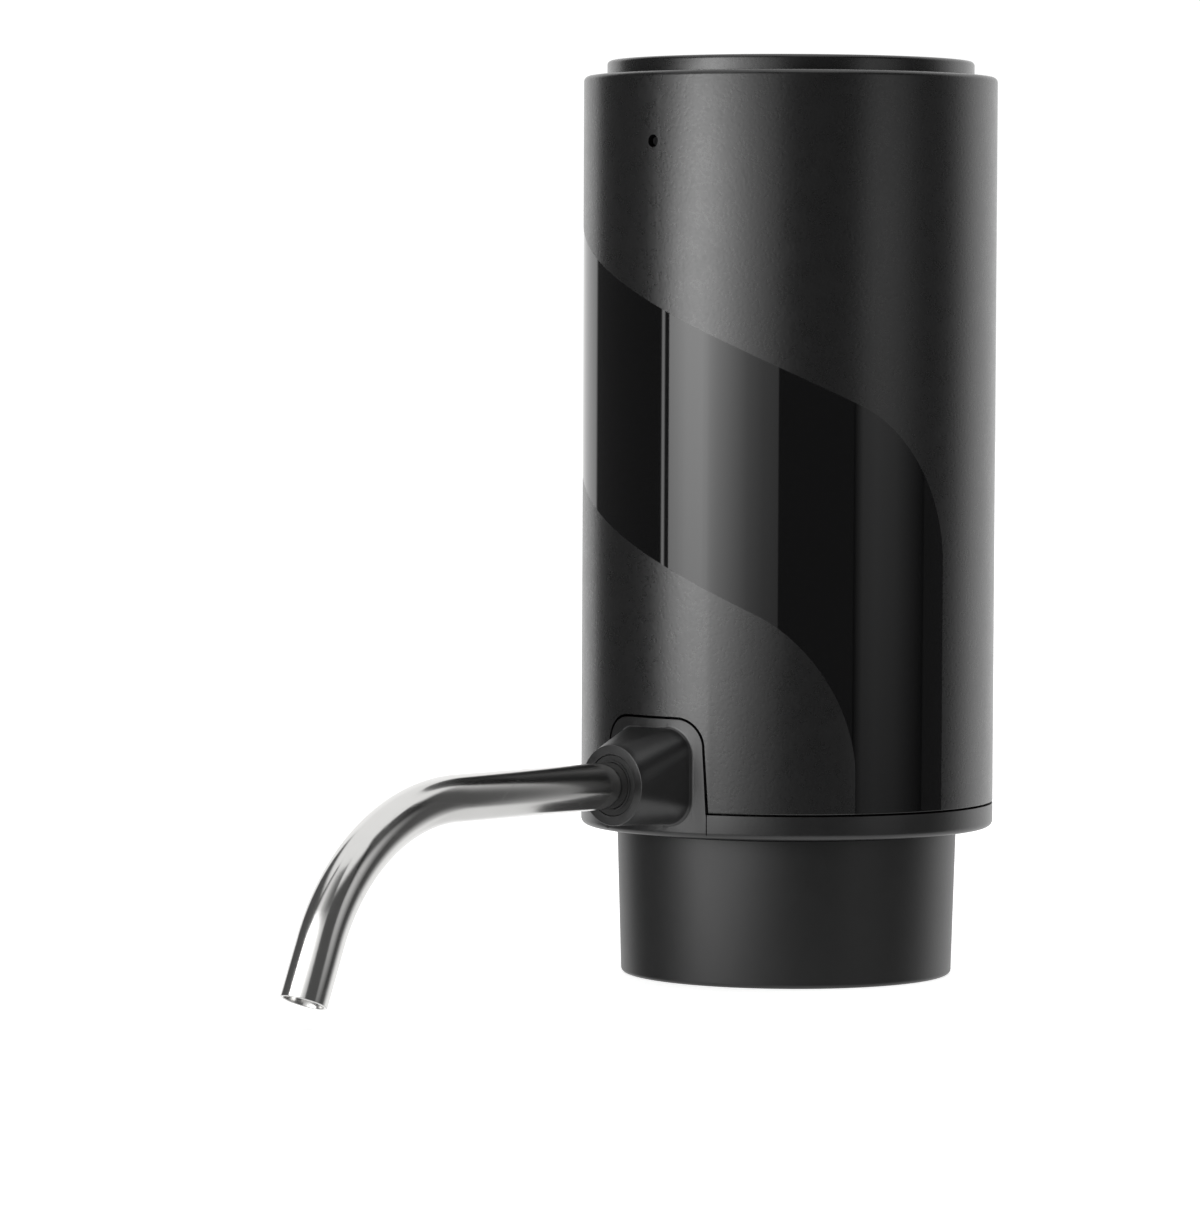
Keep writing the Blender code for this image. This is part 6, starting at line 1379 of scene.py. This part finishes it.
def make_panel(name, start, end, stops, peak):
    """A light panel: part of a standing cylinder around the object, dimmer towards its foot and its head.

    Its stops give the light across it, from the start bearing to the end bearing.
    """
    panel = Finish(name, {"Roughness": 1.0, "Specular IOR Level": 0.0, "Base Color": (0, 0, 0, 1)})
    x, y, z = panel.axes(panel.place)
    share = panel.fade(bearing_of(panel, x, y), start, end)
    rise = PANEL_FOOT_LIGHT + (1 - PANEL_FOOT_LIGHT) * panel.fade(z, PANEL_FOOT, PANEL_FULL_LIGHT)
    rise = rise * (1 - (1 - PANEL_HEAD_LIGHT) * panel.fade(z, PANEL_DIMMING, PANEL_HEAD))
    rise = rise * (1 - panel.fade(z, *PANEL_CORNER_RISE) * panel.fade(share, *PANEL_CORNER_SHARE))
    glow = panel.node("ShaderNodeEmission", inputs={1: panel.ramp(share, stops) * rise * peak})
    panel.plug(panel.tree.nodes["Material Output"], {"Surface": glow})
    bm = bmesh.new()
    columns = []
    for k in range(PANEL_STEPS + 1):
        a = CAMERA_TURN + math.radians(start + (end - start) * k / PANEL_STEPS)
        place = (PANEL_DISTANCE * math.sin(a), -PANEL_DISTANCE * math.cos(a))
        columns.append([bm.verts.new((*place, height)) for height in (PANEL_FOOT, PANEL_HEIGHT)])
    for column, after in zip(columns, columns[1:]):
        bm.faces.new((column[0], after[0], after[1], column[1]))
    screen = blank(name, bm)
    screen.data.materials.append(panel.material)
    for ray in ("camera", "shadow", "diffuse", "transmission"):
        setattr(screen, f"visible_{ray}", False)


def make_light():
    """A white studio: the camera sees plain white, and the object sees panels, a dark room and a backdrop."""
    world = bpy.data.worlds.new("studio")
    world.use_nodes = True
    bpy.context.scene.world = world
    studio = Maker(world.node_tree)
    x, y, z = studio.axes(studio.node("ShaderNodeTexCoord", output="Generated"))
    bearing = bearing_of(studio, x, y)
    rise = studio.math("ARCSINE", z) * math.degrees(1)
    edge_line = studio.between(bearing, *EDGE_STRIP, EDGE_STRIP_BLUR) * EDGE_STRIP_LIGHT
    backdrop = studio.fade(bearing, *BACKDROP_RIGHT) + studio.fade(bearing, *BACKDROP_LEFT)
    around = edge_line + ROOM_LIGHT + BACKDROP_LIGHT * backdrop
    top, low = studio.fade(rise, *CEILING), studio.fade(rise, *GROUND)
    level = around * (1 - top) * (1 - low) + CEILING_LIGHT * top + GROUND_LIGHT * low
    seen = studio.node("ShaderNodeLightPath", output="Is Camera Ray")
    strength = level * (1 - seen) + CAMERA_WHITE * seen
    glow = studio.node("ShaderNodeBackground", inputs={"Color": (1, 1, 1, 1), "Strength": strength})
    studio.plug(studio.tree.nodes["World Output"], {"Surface": glow})
    main_stops = [(share, light / MAIN_PANEL_LIGHT) for share, light in MAIN_PANEL_STOPS]
    make_panel("main_panel", *MAIN_PANEL, main_stops, MAIN_PANEL_LIGHT)
    make_panel("side_panel", *SIDE_PANEL, SIDE_PANEL_STOPS, SIDE_PANEL_LIGHT)
    bpy.context.scene.view_settings.view_transform = "Standard"


# Everything together


def dress(finish, *nodes):
    """Gives nodes that stay as they are their finish."""
    for node in nodes:
        piece = frame["nodes"][node]
        if not piece.material_slots:
            piece.data.materials.append(finish)
        for place in piece.material_slots:
            place.material = finish


def numbered(name, count):
    return [f"{name}_{i}" for i in range(1, count + 1)]


def main():
    make_camera()
    make_floor()
    make_light()
    dark_rubber = rubber("dark_silicone", (0.012, 0.012, 0.012))
    pale_rubber = rubber("pale_silicone", (0.55, 0.54, 0.50))
    white_plastic = moulded("inner_plastic", (0.52, 0.53, 0.54))
    dark_plastic = moulded("dark_inner_plastic", (0.02, 0.02, 0.021))
    steel = metal("steel", (0.42, 0.42, 0.43), 0.34)
    brass = metal("brass", (0.70, 0.46, 0.17), 0.3)
    make_shell(shell_finish().material)
    make_base(satin_black("base_black", 0.0075, 0.33, 0.75, 0.6).material)
    make_collar(satin_black("collar_black", 0.009, 0.43, 0.62, 0.4).material)
    make_button(satin_black("button_black", 0.006, 0.28, 0.8, 0.6).material)
    make_spout(polished_steel())
    make_seal(dark_rubber)
    make_gasket(dark_rubber)
    make_hose(pale_rubber)
    make_diaphragm(pale_rubber)
    make_stopper(dark_rubber)
    make_nipples(white_plastic)
    make_spring(steel)
    make_winding(enamelled_copper())
    dress(clear_pin(), "light_guide")
    dress(pale_rubber, "check_valve", "outlet_valve", *numbered("intake_valve", 3))
    dress(
        white_plastic, "manifold", "valve_cap", "pump_cover", "valve_plate", "chassis", "switch_plunger",
        "eccentric",
    )
    dress(dark_plastic, "crankcase", "wobble_plate", "motor_end_cap", "switch_body", "usb_tongue")
    dress(
        steel, "wobble_pin", "motor_shaft", "rotor_core", "usb_socket", *numbered("pump_screw", 3),
        *numbered("collar_screw", 3),
    )
    dress(metal("can_steel", (0.50, 0.50, 0.50), 0.3, (40, 40, 900)), "motor_can")
    dress(
        brass, "commutator", "bearing_front", "bearing_rear", *numbered("motor_terminal", 2),
        *numbered("motor_brush", 2),
    )
    dress(pressed_ferrite(), *numbered("motor_magnet", 2))
    dress(laminate(), "main_pcb")
    dress(battery_wrap(), "battery_cell")
    dress(lamp_lens(), "status_led")
    make_leads(wire_sleeve("red_wire", (0.30, 0.014, 0.01)), wire_sleeve("black_wire", (0.012, 0.012, 0.012)))


main()
